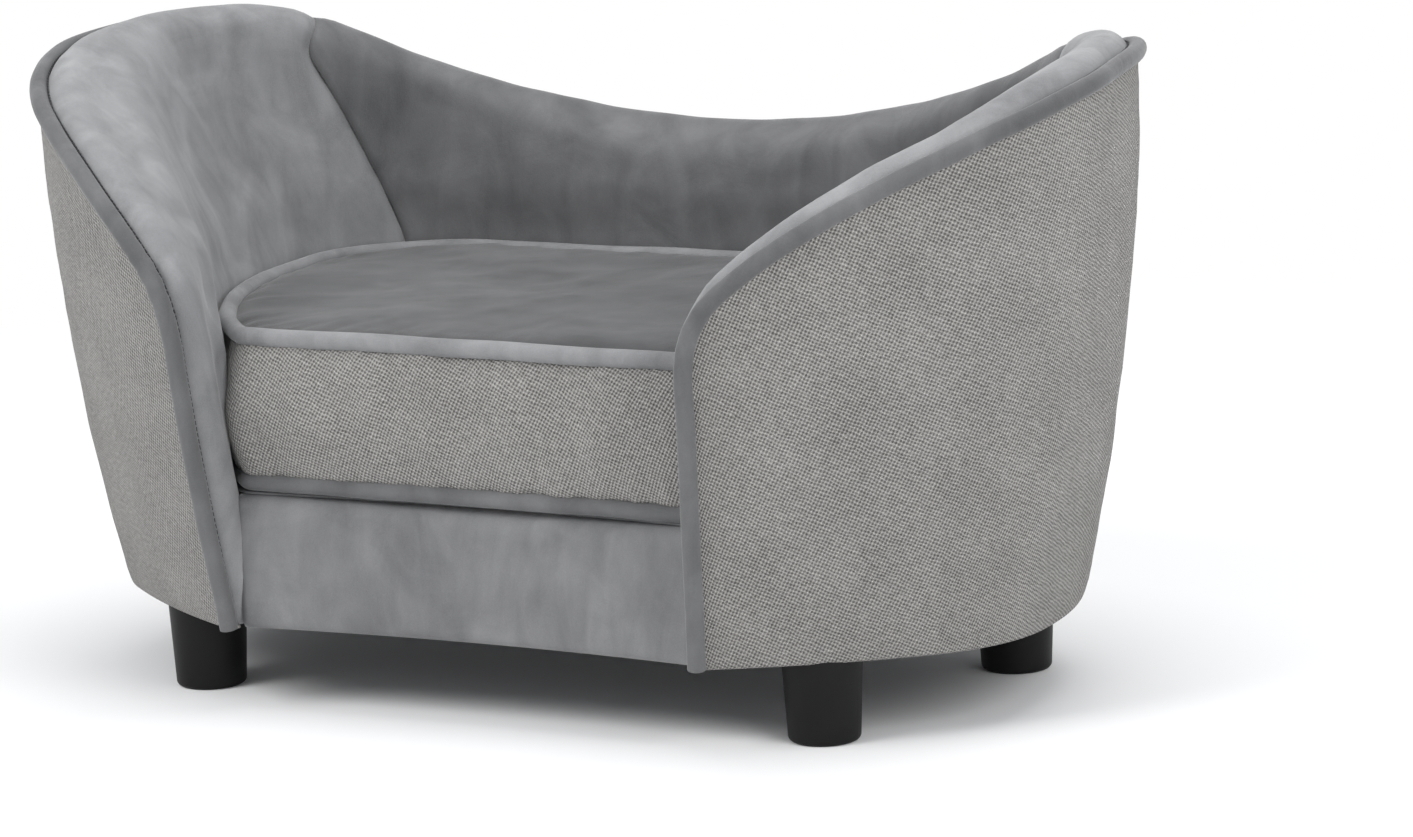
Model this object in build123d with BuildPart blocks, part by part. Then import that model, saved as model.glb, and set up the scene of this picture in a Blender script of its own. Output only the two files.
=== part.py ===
from build123d import *
import math
import os

# Dog sofa bed: a tub frame with low padded arms and back, four short legs and a loose seat cushion.
# Millimetres. +Z is up, the open front faces -Y, X runs across the seat.
# The origin is on the floor, under the middle of the sofa.

os.makedirs("parts", exist_ok=True)

# Overall sizes
overall_width = 665.5
overall_depth = 406.4
overall_height = 368.3
leg_height = 48.0
seat_width = 460.0
seat_depth = 300.0
seat_height = 218.4
deck_height = 124.0

# Materials and clearances
cover_cloth = 1.6
lining_cloth = 1.6
shell_thickness = 4.0
piping_radius = 5.2
roll_half_width = 13.4
roll_half_height = 12.0
roll_sink = 3.2
layer_gap = 0.4
seat_gap = 2.6
rest_gap = 0.3
overrun = 40.0

# Plan of the outer wall at its foot, right half, as arcs that join smoothly
wall_flare = 37.0
flare_power = 1.7
side_radius = 250.0
corner_radius = 112.0
front_corner_radius = 100.0
arm_face_radius = 472.0
side_turn = 20.0
corner_turn = 70.0
front_corner_turn = -48.0
arm_face_turn = -64.0
back_reach = 165.1

# Inner wall, where the cushion lies
arm_nose_y = -140.0
widest_y = 46.0
seat_front_y = -158.0
seat_front_half = 138.0
seat_front_corner = 14.0
seat_back_corner = 89.0
seat_back_bow = 20000.0
rim_back_corner = 117.0
rim_back_bow = 615.0
rim_widest_y = 0.0
nose_flare_share = 0.55
rim_thickness = 32.0
seam_angle = 31.0

foot_half_width = overall_width / 2 - wall_flare - piping_radius
wall_rise = overall_height - leg_height
seat_back_y = seat_front_y + seat_depth
seat_side_radius = (
    (seat_width / 2 - seat_front_half) ** 2
    + (widest_y - seat_front_y - seat_front_corner) ** 2
    - seat_front_corner**2
) / (2 * (seat_width / 2 - seat_front_half - seat_front_corner))
back_radius = (
    foot_half_width
    - side_radius * (1 - math.cos(math.radians(side_turn)))
    - corner_radius * (math.cos(math.radians(side_turn)) - math.cos(math.radians(corner_turn)))
) / math.cos(math.radians(corner_turn))
widest_wall_y = (
    back_reach
    - side_radius * math.sin(math.radians(side_turn))
    - corner_radius * (math.sin(math.radians(corner_turn)) - math.sin(math.radians(side_turn)))
    - back_radius * (1 - math.sin(math.radians(corner_turn)))
)

# Height of the rim above the floor, from the arm's front to the back, as shares
arm_y_shares = [-0.478, -0.462, -0.436, -0.401, -0.359, -0.31, -0.24, -0.15, -0.04, 0.11]
arm_z_shares = [0.685, 0.721, 0.762, 0.805, 0.845, 0.88, 0.917, 0.944, 0.961, 0.968]
back_x_shares = [0.0, 0.072, 0.145, 0.205, 0.252, 0.3, 0.345, 0.39, 0.43, 0.478]
back_z_shares = [0.763, 0.768, 0.785, 0.806, 0.829, 0.858, 0.892, 0.928, 0.955, 0.968]


def smooth_value(at, xs, ys):
    # Monotone cubic through the points, flat beyond the ends
    if at <= xs[0]:
        return ys[0]
    if at >= xs[-1]:
        return ys[-1]
    slopes = [(ys[i + 1] - ys[i]) / (xs[i + 1] - xs[i]) for i in range(len(xs) - 1)]
    tangents = [slopes[0]] + [0.0] * (len(xs) - 2) + [0.0]
    for i in range(1, len(xs) - 1):
        if slopes[i - 1] * slopes[i] > 0:
            tangents[i] = 2 * slopes[i - 1] * slopes[i] / (slopes[i - 1] + slopes[i])
    i = max(n for n in range(len(xs) - 1) if xs[n] <= at)
    span = xs[i + 1] - xs[i]
    t = (at - xs[i]) / span
    low = (1 + 2 * t) * (1 - t) ** 2 * ys[i] + t * (1 - t) ** 2 * span * tangents[i]
    high = t * t * (3 - 2 * t) * ys[i + 1] + t * t * (t - 1) * span * tangents[i + 1]
    return low + high


def arm_rim(y):
    return overall_height * smooth_value(y / overall_depth, arm_y_shares, arm_z_shares)


def back_rim(x):
    return overall_height * smooth_value(abs(x) / overall_width, back_x_shares, back_z_shares)


def flare(z):
    share = min(max((z - leg_height) / wall_rise, 0.0), 1.0)
    return wall_flare * (1 - (1 - share) ** flare_power)


def on_arc(centre, radius, angle):
    return (
        centre[0] + radius * math.cos(math.radians(angle)),
        centre[1] + radius * math.sin(math.radians(angle)),
    )


def outer_arcs(offset):
    # Arcs of the right half from the arm's front to the middle of the back
    side = (foot_half_width - side_radius, widest_wall_y)
    corner = on_arc(side, side_radius - corner_radius, side_turn)
    back = on_arc(corner, corner_radius - back_radius, corner_turn)
    front_corner = (foot_half_width - front_corner_radius, widest_wall_y)
    arm_face = on_arc(front_corner, front_corner_radius - arm_face_radius, front_corner_turn)
    return [
        (arm_face, arm_face_radius + offset, arm_face_turn, front_corner_turn),
        (front_corner, front_corner_radius + offset, front_corner_turn, 0.0),
        (side, side_radius + offset, 0.0, side_turn),
        (corner, corner_radius + offset, side_turn, corner_turn),
        (back, back_radius + offset, corner_turn, 90.0),
    ]


def outer_point(angle, z, inset=0.0):
    for centre, radius, start, stop in outer_arcs(flare(z) - inset):
        if angle <= stop:
            return on_arc(centre, radius, angle)
    return on_arc(centre, radius, 90.0)


def outer_chain(offset):
    chain = []
    for centre, radius, start, stop in outer_arcs(offset):
        middle = (start + stop) / 2
        chain.append(tuple(on_arc(centre, radius, a) for a in (start, middle, stop)))
    return chain


def mirrored(chain):
    return [tuple((-x, y) for x, y in reversed(points)) for points in reversed(chain)]


def nose_x_at(y):
    # The arm's nose follows the side of the cushion at a small gap
    reach = (seat_side_radius + seat_gap) ** 2 - (widest_y - y) ** 2
    return seat_width / 2 - seat_side_radius + math.sqrt(reach)


def inner_chain(half_width, back_y, corner, bow, widest, nose_y, grow=0.0):
    # Right half of the inner wall from the middle of the back to the arm's nose
    nose = (nose_x_at(nose_y) + grow, nose_y)
    wide = half_width + grow
    rise = widest - nose_y
    turn = 2 * math.atan((wide - nose[0]) / rise)
    radius = rise / math.sin(turn)
    centre = (wide - radius, widest)
    back = (0.0, back_y - bow)
    bend_y = back[1] + math.sqrt((bow - corner) ** 2 - (half_width - corner) ** 2)
    bend = (half_width - corner, bend_y)
    start = math.degrees(math.atan2(bend_y - back[1], half_width - corner))
    back_turn = (start + 90.0) / 2
    return [
        tuple(on_arc(back, bow + grow, a) for a in (90.0, back_turn, start)),
        tuple(on_arc(bend, corner + grow, a) for a in (start, start / 2, 0.0)),
        ((wide, bend_y), (wide, widest)),
        (
            (wide, widest),
            on_arc(centre, radius, -math.degrees(turn) / 2),
            nose,
        ),
    ]


def backwards(chain):
    return [tuple(reversed(points)) for points in reversed(chain)]


def outer_path(right):
    # The outer line from the right arm's front to the left arm's front
    start = right[-1][0]
    over = [(start, right[-1][-1], (-start[0], start[1]))]
    return right[:-1] + over + mirrored(right[:-1])


def inner_path(right):
    # The inner line from the left arm's nose to the right arm's nose
    stop = right[0][-1]
    over = [((-stop[0], stop[1]), right[0][0], stop)]
    return mirrored(right[1:]) + over + right[1:]


def inner_sizes(z):
    # Half width, back, corner, bow of the back, widest place and nose of the inner wall at a height
    seat = (seat_width / 2 + seat_gap, seat_back_y + seat_gap, seat_back_corner + seat_gap, widest_y)
    rim_wide = overall_width / 2 - piping_radius - rim_thickness
    rim_back = overall_depth / 2 - piping_radius - rim_thickness
    rim = (rim_wide, rim_back, rim_back_corner, rim_widest_y)
    share = min(max((z - seat_height) / (overall_height - seat_height), 0.0), 1.0)
    wide, back, corner, widest = [low + (high - low) * share for low, high in zip(seat, rim)]
    bow = 1 / ((1 - share) / seat_back_bow + share / rim_back_bow)
    return wide, back, corner, bow, widest, arm_nose_y - nose_flare_share * flare(z)


def draw(chain):
    for points in chain:
        if len(points) == 2:
            Line(*points)
        else:
            ThreePointArc(*points)


def trimmed(chain, offset, set_back):
    # The chain of the right half, begun set_back further along the arm's face
    centre, radius, start, stop = outer_arcs(offset)[0]
    first = start + math.degrees(set_back / arm_face_radius)
    return [tuple(on_arc(centre, radius, a) for a in (first, (first + stop) / 2, stop))] + chain[1:]


def ring_chain(z, outer_inset, inner_grow, set_back):
    # Closed outline of the padding between the outer wall and the inner wall at a height
    offset = flare(z) - outer_inset
    right = trimmed(outer_chain(offset), offset, set_back)
    inner_right = inner_chain(*inner_sizes(z), grow=inner_grow)
    front = right[0][0]
    nose = inner_right[-1][-1]
    walls = outer_path(right) + [((-front[0], front[1]), (-nose[0], nose[1]))]
    return walls + inner_path(inner_right) + [(nose, front)]


def skin_chain(z, inset, thickness, set_back):
    # Closed outline of a thin layer that follows the outer wall
    lines = []
    for depth in (inset, inset + thickness):
        offset = flare(z) - depth
        right = trimmed(outer_chain(offset), offset, set_back)
        lines.append(outer_path(right))
    outside, inside = lines
    back_again = backwards(inside)
    return outside + [(outside[-1][-1], inside[-1][-1])] + back_again + [(inside[0][0], outside[0][0])]


def lining_chain(z):
    # Closed outline of the cloth on the inner wall, from the right nose round to the left nose
    outside, inside = [
        backwards(inner_path(inner_chain(*inner_sizes(z), grow=grow))) for grow in (lining_cloth, 0.0)
    ]
    closing = [(outside[-1][-1], inside[-1][-1])]
    return outside + closing + backwards(inside) + [(inside[0][0], outside[0][0])]


def levels(low, high, count):
    return [low + (high - low) * i / (count - 1) for i in range(count)]


wall_level_count = 6


def plan_wedge(kind, z_low, z_high, gap):
    # Region of the plan that holds the back, the right arm or the left arm
    reach = 2 * overall_width
    slope = math.tan(math.radians(seam_angle))
    with BuildSketch(Plane.XY.offset(z_low)) as wedge:
        with BuildLine():
            if kind == "back":
                Polyline((0, gap), (reach, reach * slope + gap), (-reach, reach * slope + gap), close=True)
            else:
                side = 1 if kind == "right" else -1
                Polyline(
                    (0, -gap),
                    (side * reach, reach * slope - gap),
                    (side * reach, -reach),
                    (0, -reach),
                    close=True,
                )
        make_face()
    extrude(wedge.sketch, amount=z_high - z_low, mode=Mode.INTERSECT)


# Sizes of the frame
cloth_under_lift = 0.3
dust_cloth = 1.0
base_board_thickness = 12.0
base_inset = 2.2
roll_clear = 38.0
wall_top_drop = roll_sink + roll_half_height + layer_gap
cover_drop = piping_radius + 2 * layer_gap
deck_board_thickness = 9.0
deck_foam_thickness = 16.0
rail_thickness = 18.0
deck_lip_x = 143.0
deck_lip_y = -146.0

dust_bottom = leg_height + cloth_under_lift
base_bottom = dust_bottom + dust_cloth + cloth_under_lift
base_top = base_bottom + base_board_thickness
deck_cloth_bottom = deck_height - lining_cloth
deck_foam_top = deck_cloth_bottom - cloth_under_lift
deck_foam_bottom = deck_foam_top - deck_foam_thickness
deck_board_top = deck_foam_bottom - cloth_under_lift
deck_board_bottom = deck_board_top - deck_board_thickness
padding_bottom = deck_board_bottom


def wall_loft(chain_at, low):
    # Smooth solid through the outlines from low to the full height
    outlines = []
    for z in levels(low, overall_height, wall_level_count):
        with BuildSketch(Plane.XY.offset(z)) as outline:
            with BuildLine():
                draw(chain_at(z))
            make_face()
        outlines.append(outline.sketch.face())
    loft(outlines)


def cut_below(z):
    # Takes away what hangs lower than a height
    with BuildSketch(Plane.XY.offset(z)) as floor:
        Rectangle(2 * overall_width, 2 * overall_depth)
    extrude(floor.sketch, amount=-overall_height, mode=Mode.SUBTRACT)


def floor_outline(offset, set_back, front):
    # Plan of a board under the padding, closed across the front
    right = trimmed(outer_chain(offset), offset, set_back)
    start = right[0][0]
    chain = outer_path(right) + [((-start[0], start[1]), (-front[0], front[1]))]
    return chain + [((-front[0], front[1]), front), (front, start)]


def deck_outline(z, grow):
    # Plan of the deck between the inner walls, straight across the front
    wide, back, corner, bow, widest, nose_y = inner_sizes(z)
    right = inner_chain(wide, back, corner, bow, widest, arm_nose_y, grow=grow)
    nose = right[-1][-1]
    return backwards(inner_path(right) + [(nose, (-nose[0], nose[1]))])


# Line of the rim: up the arm's front edge, over the bend, round the arms and the back
front_edge_shares = [0.0, 0.22, 0.43, 0.62, 0.78, 0.9, 1.0]
front_turn_z = 0.585 * overall_height
bend_radius = 60.0
bend_turns = [18.0, 36.0, 54.0]
rim_angles = [-58.7, -55.8, -52.0, -47.0, -38.0, -26.0, -12.0, 2.0, 14.0, 26.0, 38.0, 50.0, 62.0]
rim_angles = rim_angles + [71.0, 74.5, 78.0, 82.0, 86.0]
widest_rim_angle = 14.0
front_edge_turn = -90.0
roll_turn_places = 10


def rim_place(angle):
    # Point of the rim on the outer wall
    z = front_turn_z
    for step in range(12):
        x, y = outer_point(angle, z)
        z = (z + min(arm_rim(y), back_rim(x))) / 2
    x, y = outer_point(angle, z)
    return (x, y, z)


def rim_line():
    # Places along the right half, each with the turn of the roll's and of the wall's outward side
    walls = []
    for share in front_edge_shares:
        z = leg_height + (front_turn_z - leg_height) * share
        walls.append((*outer_point(arm_face_turn, z), z, arm_face_turn))
    for turn in bend_turns:
        z = front_turn_z + bend_radius * math.sin(math.radians(turn))
        along = bend_radius * (1 - math.cos(math.radians(turn)))
        angle = arm_face_turn + math.degrees(along / arm_face_radius)
        walls.append((*outer_point(angle, z), z, angle))
    for angle in rim_angles:
        walls.append((*rim_place(angle), angle))
    places = []
    for i, (x, y, z, angle) in enumerate(walls):
        blend = min(max((i + 1 - len(front_edge_shares)) / roll_turn_places, 0.0), 1.0)
        places.append((x, y, z, front_edge_turn + (angle - front_edge_turn) * blend, angle))
    return places


half_line = rim_line()
middle = rim_place(90.0)
whole_line = half_line + [(*middle, 90.0, 90.0)]
left_line = [(-x, y, z, 180.0 - turn, 180.0 - wall) for x, y, z, turn, wall in reversed(half_line)]
whole_line = whole_line + left_line
seam_place = len(half_line) - len(rim_angles) + rim_angles.index(50.0)
widest_place = len(half_line) - len(rim_angles) + rim_angles.index(widest_rim_angle)
last_place = len(whole_line) - 1


def line_plane(line, i, out, up, by_wall=False):
    # Plane square to the line at a place, moved out and up from it
    x, y, z, turn, wall = line[i]
    before = Vector(*line[max(i - 1, 0)][:3])
    after = Vector(*line[min(i + 1, len(line) - 1)][:3])
    along = (after - before).normalized()
    if i == 0 or i == len(line) - 1:
        along = Vector(0, 0, 1) if i == 0 else Vector(0, 0, -1)
    facing = math.radians(wall if by_wall else turn)
    outward = Vector(math.cos(facing), math.sin(facing), 0)
    outward = (outward - along * outward.dot(along)).normalized()
    upward = outward.cross(along)
    centre = Vector(x, y, z) + outward * out + upward * up
    return Plane(origin=centre, x_dir=outward, z_dir=along)


def oval(half_wide, half_high):
    # Closed outline of four arcs
    cross = math.sqrt(0.5)
    tips = [(half_wide, 0), (0, half_high), (-half_wide, 0), (0, -half_high)]
    for i in range(4):
        a = tips[i]
        b = tips[(i + 1) % 4]
        ThreePointArc(a, ((a[0] + b[0]) * cross, (a[1] + b[1]) * cross), b)


def along_line(line, first, last, half_wide, half_high, out, up):
    # Smooth padded strip along part of the line
    outlines = []
    for i in range(first, last + 1):
        with BuildSketch(line_plane(line, i, out, up)) as outline:
            with BuildLine():
                oval(half_wide, half_high)
            make_face()
        outlines.append(outline.sketch.face())
    loft(outlines)


def cut_above_rim(drop, out=0.0, by_wall=True):
    # Takes away what stands above the rim; the cut follows the rim lowered by drop and moved by out
    top = overall_height + overrun
    first = len(front_edge_shares) - 1
    places = range(first, len(half_line) + 1)
    lowered = [line_plane(whole_line, i, out, -drop, by_wall).origin for i in places]
    split = widest_place - first
    side = [(point.Y, point.Z) for point in lowered[: split + 1]]
    back = [(point.X, point.Z) for point in lowered[split:]]
    back = back + [(-x, z) for x, z in reversed(back[:-1])]
    with BuildSketch(Plane.YZ.offset(-overall_width)) as side_sketch:
        with BuildLine():
            Spline(side)
            Polyline(
                side[-1],
                (overall_depth, side[-1][1]),
                (overall_depth, top),
                (-overall_depth, top),
                (-overall_depth, side[0][1]),
                side[0],
            )
        make_face()
    extrude(side_sketch.sketch, amount=2 * overall_width, mode=Mode.SUBTRACT)
    with BuildSketch(Plane.XZ.offset(overall_depth)) as back_sketch:
        with BuildLine():
            Spline(back)
            Polyline(
                back[-1],
                (-overall_width, back[-1][1]),
                (-overall_width, top),
                (overall_width, top),
                (overall_width, back[0][1]),
                back[0],
            )
        make_face()
    extrude(back_sketch.sketch, amount=-2 * overall_depth, mode=Mode.SUBTRACT)


roll_out = -(piping_radius + 2 * layer_gap + roll_half_width)
roll_spans = {
    "right_arm_roll": (0, seam_place),
    "back_roll": (seam_place, last_place - seam_place),
    "left_arm_roll": (last_place - seam_place, last_place),
}

# Room that the roll takes up in the padding
with BuildPart() as roll_room:
    for first, last in roll_spans.values():
        along_line(
            whole_line,
            first,
            last,
            roll_half_width + layer_gap,
            roll_half_height + layer_gap,
            roll_out,
            -roll_sink,
        )
padding_drop = roll_sink + roll_half_height / 2
padding_edge = roll_out - roll_half_width

# Outer cover: woven cloth round both arms and the back
with BuildPart() as outer_cover:
    wall_loft(lambda z: skin_chain(z, 0.0, cover_cloth, cover_drop), leg_height)
    cut_above_rim(cover_drop)
outer_cover.part.label = "outer_cover"
export_step(outer_cover.part, "parts/outer_cover.step")

# Bent board inside the cover
with BuildPart() as shell_board:
    shell_inset = cover_cloth + layer_gap
    wall_loft(lambda z: skin_chain(z, shell_inset, shell_thickness, roll_clear), base_top + rest_gap)
    cut_above_rim(wall_top_drop)
    add(roll_room.part, mode=Mode.SUBTRACT)
shell_board.part.label = "shell_board"
export_step(shell_board.part, "parts/shell_board.step")

# Padding of the arms and the back
padding_inset = cover_cloth + shell_thickness + 2 * layer_gap
padding_grow = lining_cloth + layer_gap
foam_names = {"right": "right_arm_foam", "left": "left_arm_foam", "back": "back_foam"}
for kind, foam_name in foam_names.items():
    with BuildPart() as wall_foam:
        wall_loft(lambda z: ring_chain(z, padding_inset, padding_grow, roll_clear), padding_bottom)
        cut_above_rim(padding_drop, padding_edge, False)
        add(roll_room.part, mode=Mode.SUBTRACT)
        plan_wedge(kind, 0.0, overall_height + overrun, rest_gap)
    wall_foam.part.label = foam_name
    export_step(wall_foam.part, "parts/" + foam_name + ".step")

# Velvet lining of the arms and the back
lining_tuck = 14.0
lining_names = {"right": "right_arm_lining", "left": "left_arm_lining", "back": "back_lining"}
for kind, lining_name in lining_names.items():
    with BuildPart() as wall_lining:
        wall_loft(lining_chain, padding_bottom)
        cut_below(deck_height - lining_tuck)
        cut_above_rim(roll_sink, padding_edge, False)
        plan_wedge(kind, 0.0, overall_height + overrun, rest_gap)
        add(roll_room.part, mode=Mode.SUBTRACT)
    wall_lining.part.label = lining_name
    export_step(wall_lining.part, "parts/" + lining_name + ".step")

# Piping round the whole rim, in three lengths
with BuildPart() as right_arm_piping:
    along_line(whole_line, 0, seam_place, piping_radius, piping_radius, 0.0, 0.0)
right_arm_piping.part.label = "right_arm_piping"
export_step(right_arm_piping.part, "parts/right_arm_piping.step")

with BuildPart() as left_arm_piping:
    mirror(right_arm_piping.part, about=Plane.YZ)
left_arm_piping.part.label = "left_arm_piping"
export_step(left_arm_piping.part, "parts/left_arm_piping.step")

with BuildPart() as back_piping:
    along_line(whole_line, seam_place, last_place - seam_place, piping_radius, piping_radius, 0.0, 0.0)
back_piping.part.label = "back_piping"
export_step(back_piping.part, "parts/back_piping.step")

# Padded velvet roll inside the piping, in three lengths
for roll_name, (first, last) in roll_spans.items():
    with BuildPart() as roll:
        along_line(whole_line, first, last, roll_half_width, roll_half_height, roll_out, -roll_sink)
    roll.part.label = roll_name
    export_step(roll.part, "parts/" + roll_name + ".step")

# Dust cover, base board and legs
leg_round = 3.0
leg_foot_radius = 20.0
leg_top_radius = 22.5
front_leg_x = 197.0
front_leg_y = -117.0
rear_leg_x = 230.0
rear_leg_y = 64.0
bolt_radius = 4.0
bolt_fit = 0.05
bolt_low = 20.0
bolt_above_base = 2.5
nut_flange_radius = 11.0
nut_flange_thickness = 1.5
nut_barrel_radius = 5.2
nut_barrel_length = 9.0
nut_fit = 0.1
board_hole_radius = nut_barrel_radius + nut_fit
cloth_hole_radius = bolt_radius + nut_fit
leg_places = {
    "leg_front_right": (front_leg_x, front_leg_y),
    "leg_front_left": (-front_leg_x, front_leg_y),
    "leg_rear_right": (rear_leg_x, rear_leg_y),
    "leg_rear_left": (-rear_leg_x, rear_leg_y),
}
leg_spots = list(leg_places.values())


def round_post(x, y, low, high, radius, mode=Mode.ADD):
    # Upright cylinder from low to high
    with BuildSketch(Plane.XY.offset(low)) as disc:
        with Locations((x, y)):
            Circle(radius)
    extrude(disc.sketch, amount=high - low, mode=mode)


def block(x_low, x_high, y_low, y_high, z_low, z_high, mode=Mode.ADD):
    # Square-edged block between two corners
    with BuildSketch(Plane.XY.offset(z_low)) as face:
        with Locations(((x_low + x_high) / 2, (y_low + y_high) / 2)):
            Rectangle(x_high - x_low, y_high - y_low)
    extrude(face.sketch, amount=z_high - z_low, mode=mode)


def plate(chain, low, high):
    # Flat sheet of the plan from low to high
    with BuildSketch(Plane.XY.offset(low)) as outline:
        with BuildLine():
            draw(chain)
        make_face()
    extrude(outline.sketch, amount=high - low)


for leg_name, (leg_x, leg_y) in leg_places.items():
    with BuildPart() as leg:
        with BuildSketch(Plane(origin=(leg_x, leg_y, 0), x_dir=(1, 0, 0), z_dir=(0, -1, 0))):
            with BuildLine():
                Polyline(
                    (0, 0),
                    (leg_foot_radius, 0),
                    (leg_top_radius, leg_height),
                    (bolt_radius + bolt_fit, leg_height),
                    (bolt_radius + bolt_fit, bolt_low),
                    (0, bolt_low),
                    close=True,
                )
            make_face()
        revolve(axis=Axis((leg_x, leg_y, 0), (0, 0, 1)))
        fillet(leg.edges().sort_by(Axis.Z)[0], radius=leg_round)
    leg.part.label = leg_name
    export_step(leg.part, "parts/" + leg_name + ".step")

# Bolts that hold the legs, and the nuts pressed into the base board
with BuildPart() as hanger_bolts:
    for spot_x, spot_y in leg_spots:
        round_post(spot_x, spot_y, bolt_low, base_top + bolt_above_base, bolt_radius)
hanger_bolts.part.label = "hanger_bolts"
export_step(hanger_bolts.part, "parts/hanger_bolts.step")

with BuildPart() as t_nuts:
    for spot_x, spot_y in leg_spots:
        round_post(spot_x, spot_y, base_top, base_top + nut_flange_thickness, nut_flange_radius)
        round_post(spot_x, spot_y, base_top - nut_barrel_length, base_top, nut_barrel_radius)
        round_post(
            spot_x,
            spot_y,
            base_top - nut_barrel_length,
            base_top + nut_flange_thickness,
            bolt_radius + bolt_fit,
            Mode.SUBTRACT,
        )
t_nuts.part.label = "t_nuts"
export_step(t_nuts.part, "parts/t_nuts.step")

base_offset = flare(base_bottom) - base_inset
base_nose_y = -135.0
base_nose = (nose_x_at(base_nose_y), base_nose_y)

with BuildPart() as base_board:
    plate(floor_outline(base_offset, roll_clear, base_nose), base_bottom, base_top)
    for spot_x, spot_y in leg_spots:
        round_post(spot_x, spot_y, base_bottom, base_top, board_hole_radius, Mode.SUBTRACT)
base_board.part.label = "base_board"
export_step(base_board.part, "parts/base_board.step")

with BuildPart() as dust_cover:
    plate(floor_outline(base_offset, roll_clear, base_nose), dust_bottom, dust_bottom + dust_cloth)
    for spot_x, spot_y in leg_spots:
        round_post(spot_x, spot_y, dust_bottom, dust_bottom + dust_cloth, cloth_hole_radius, Mode.SUBTRACT)
dust_cover.part.label = "dust_cover"
export_step(dust_cover.part, "parts/dust_cover.step")

# Staples that hold the dust cover
staple_width = 10.0
staple_wire = 1.2
staple_crown = 0.6
staple_depth = 6.0
staple_inset = 9.0
staple_front_spots = [-0.2, -0.13, -0.065, 0.0, 0.065, 0.13, 0.2]
staple_turns = [-46.0, -33.0, -20.0, -5.0, 28.0, 50.0, 66.0, 76.0, 84.0]


def staple_places():
    # Place and turn of each staple round the edge of the underside
    places = [(overall_width * share, base_nose_y + staple_inset, 0.0) for share in staple_front_spots]
    for angle in staple_turns:
        x, y = outer_point(angle, base_bottom, base_inset + staple_inset)
        places.append((x, y, angle + 90.0))
        places.append((-x, y, 90.0 - angle))
    return places


with BuildPart() as dust_staples:
    crown_low = dust_bottom - staple_crown
    for spot_x, spot_y, turn in staple_places():
        with BuildSketch(Plane.XY.offset(crown_low)):
            with Locations(Pos(spot_x, spot_y) * Rot(0, 0, turn)):
                Rectangle(staple_width, staple_wire)
        extrude(amount=staple_crown)
        with BuildSketch(Plane.XY.offset(crown_low)):
            with Locations(Pos(spot_x, spot_y) * Rot(0, 0, turn)):
                with Locations((-(staple_width - staple_wire) / 2, 0), ((staple_width - staple_wire) / 2, 0)):
                    Rectangle(staple_wire, staple_wire)
        extrude(amount=staple_depth)
dust_staples.part.label = "dust_staples"
export_step(dust_staples.part, "parts/dust_staples.step")

# Deck frame on the base board
rail_back_y = 98.0
rail_back_x = 194.0
rail_front_x = 140.0
side_rail_front_x = 152.0
side_rail_back_x = 198.0
screw_radius = 1.9
screw_fit = 0.1
screw_head_radius = 4.0
screw_head_thickness = 2.5
screw_length = 32.0
screw_end = deck_board_top - screw_length
screw_head_low = deck_board_top - screw_head_thickness
front_rail_middle = arm_nose_y + rail_thickness / 2
back_rail_middle = rail_back_y + rail_thickness / 2
front_screw_x = 110.0
back_screw_x = 140.0
slat_screw_y = -20.0
front_rail_screws = [(x, front_rail_middle) for x in (-front_screw_x, 0, front_screw_x)]
back_rail_screws = [(x, back_rail_middle) for x in (-back_screw_x, 0, back_screw_x)]
side_rail_front_y = arm_nose_y + rail_thickness
side_screw_share = (slat_screw_y - side_rail_front_y) / (rail_back_y - side_rail_front_y)
side_screw_x = side_rail_front_x - rail_thickness / 2
side_screw_x = side_screw_x + (side_rail_back_x - side_rail_front_x) * side_screw_share
rail_boxes = {
    "front_rail": ((-rail_front_x, rail_front_x, arm_nose_y, arm_nose_y + rail_thickness), front_rail_screws),
    "back_rail": ((-rail_back_x, rail_back_x, rail_back_y, rail_back_y + rail_thickness), back_rail_screws),
    "centre_slat": (
        (-rail_thickness / 2, rail_thickness / 2, arm_nose_y + rail_thickness, rail_back_y),
        [(0, slat_screw_y)],
    ),
}
for rail_name, (sides, screws) in rail_boxes.items():
    with BuildPart() as rail:
        block(*sides, base_top, deck_board_bottom)
        for screw_x, screw_y in screws:
            round_post(screw_x, screw_y, screw_end, deck_board_bottom, screw_radius + screw_fit, Mode.SUBTRACT)
    rail.part.label = rail_name
    export_step(rail.part, "parts/" + rail_name + ".step")

side_rail_sides = {"right_side_rail": 1, "left_side_rail": -1}
for rail_name, side in side_rail_sides.items():
    with BuildPart() as side_rail:
        with BuildSketch(Plane.XY.offset(base_top)):
            with BuildLine():
                Polyline(
                    (side * side_rail_front_x, arm_nose_y + rail_thickness),
                    (side * side_rail_back_x, rail_back_y),
                    (side * (side_rail_back_x - rail_thickness), rail_back_y),
                    (side * (side_rail_front_x - rail_thickness), arm_nose_y + rail_thickness),
                    close=True,
                )
            make_face()
        extrude(amount=deck_board_bottom - base_top)
        round_post(
            side * side_screw_x,
            slat_screw_y,
            screw_end,
            deck_board_bottom,
            screw_radius + screw_fit,
            Mode.SUBTRACT,
        )
    side_rail.part.label = rail_name
    export_step(side_rail.part, "parts/" + rail_name + ".step")

deck_screws = front_rail_screws + back_rail_screws + [(0, slat_screw_y)]
deck_screws = deck_screws + [(side_screw_x, slat_screw_y), (-side_screw_x, slat_screw_y)]

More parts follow.
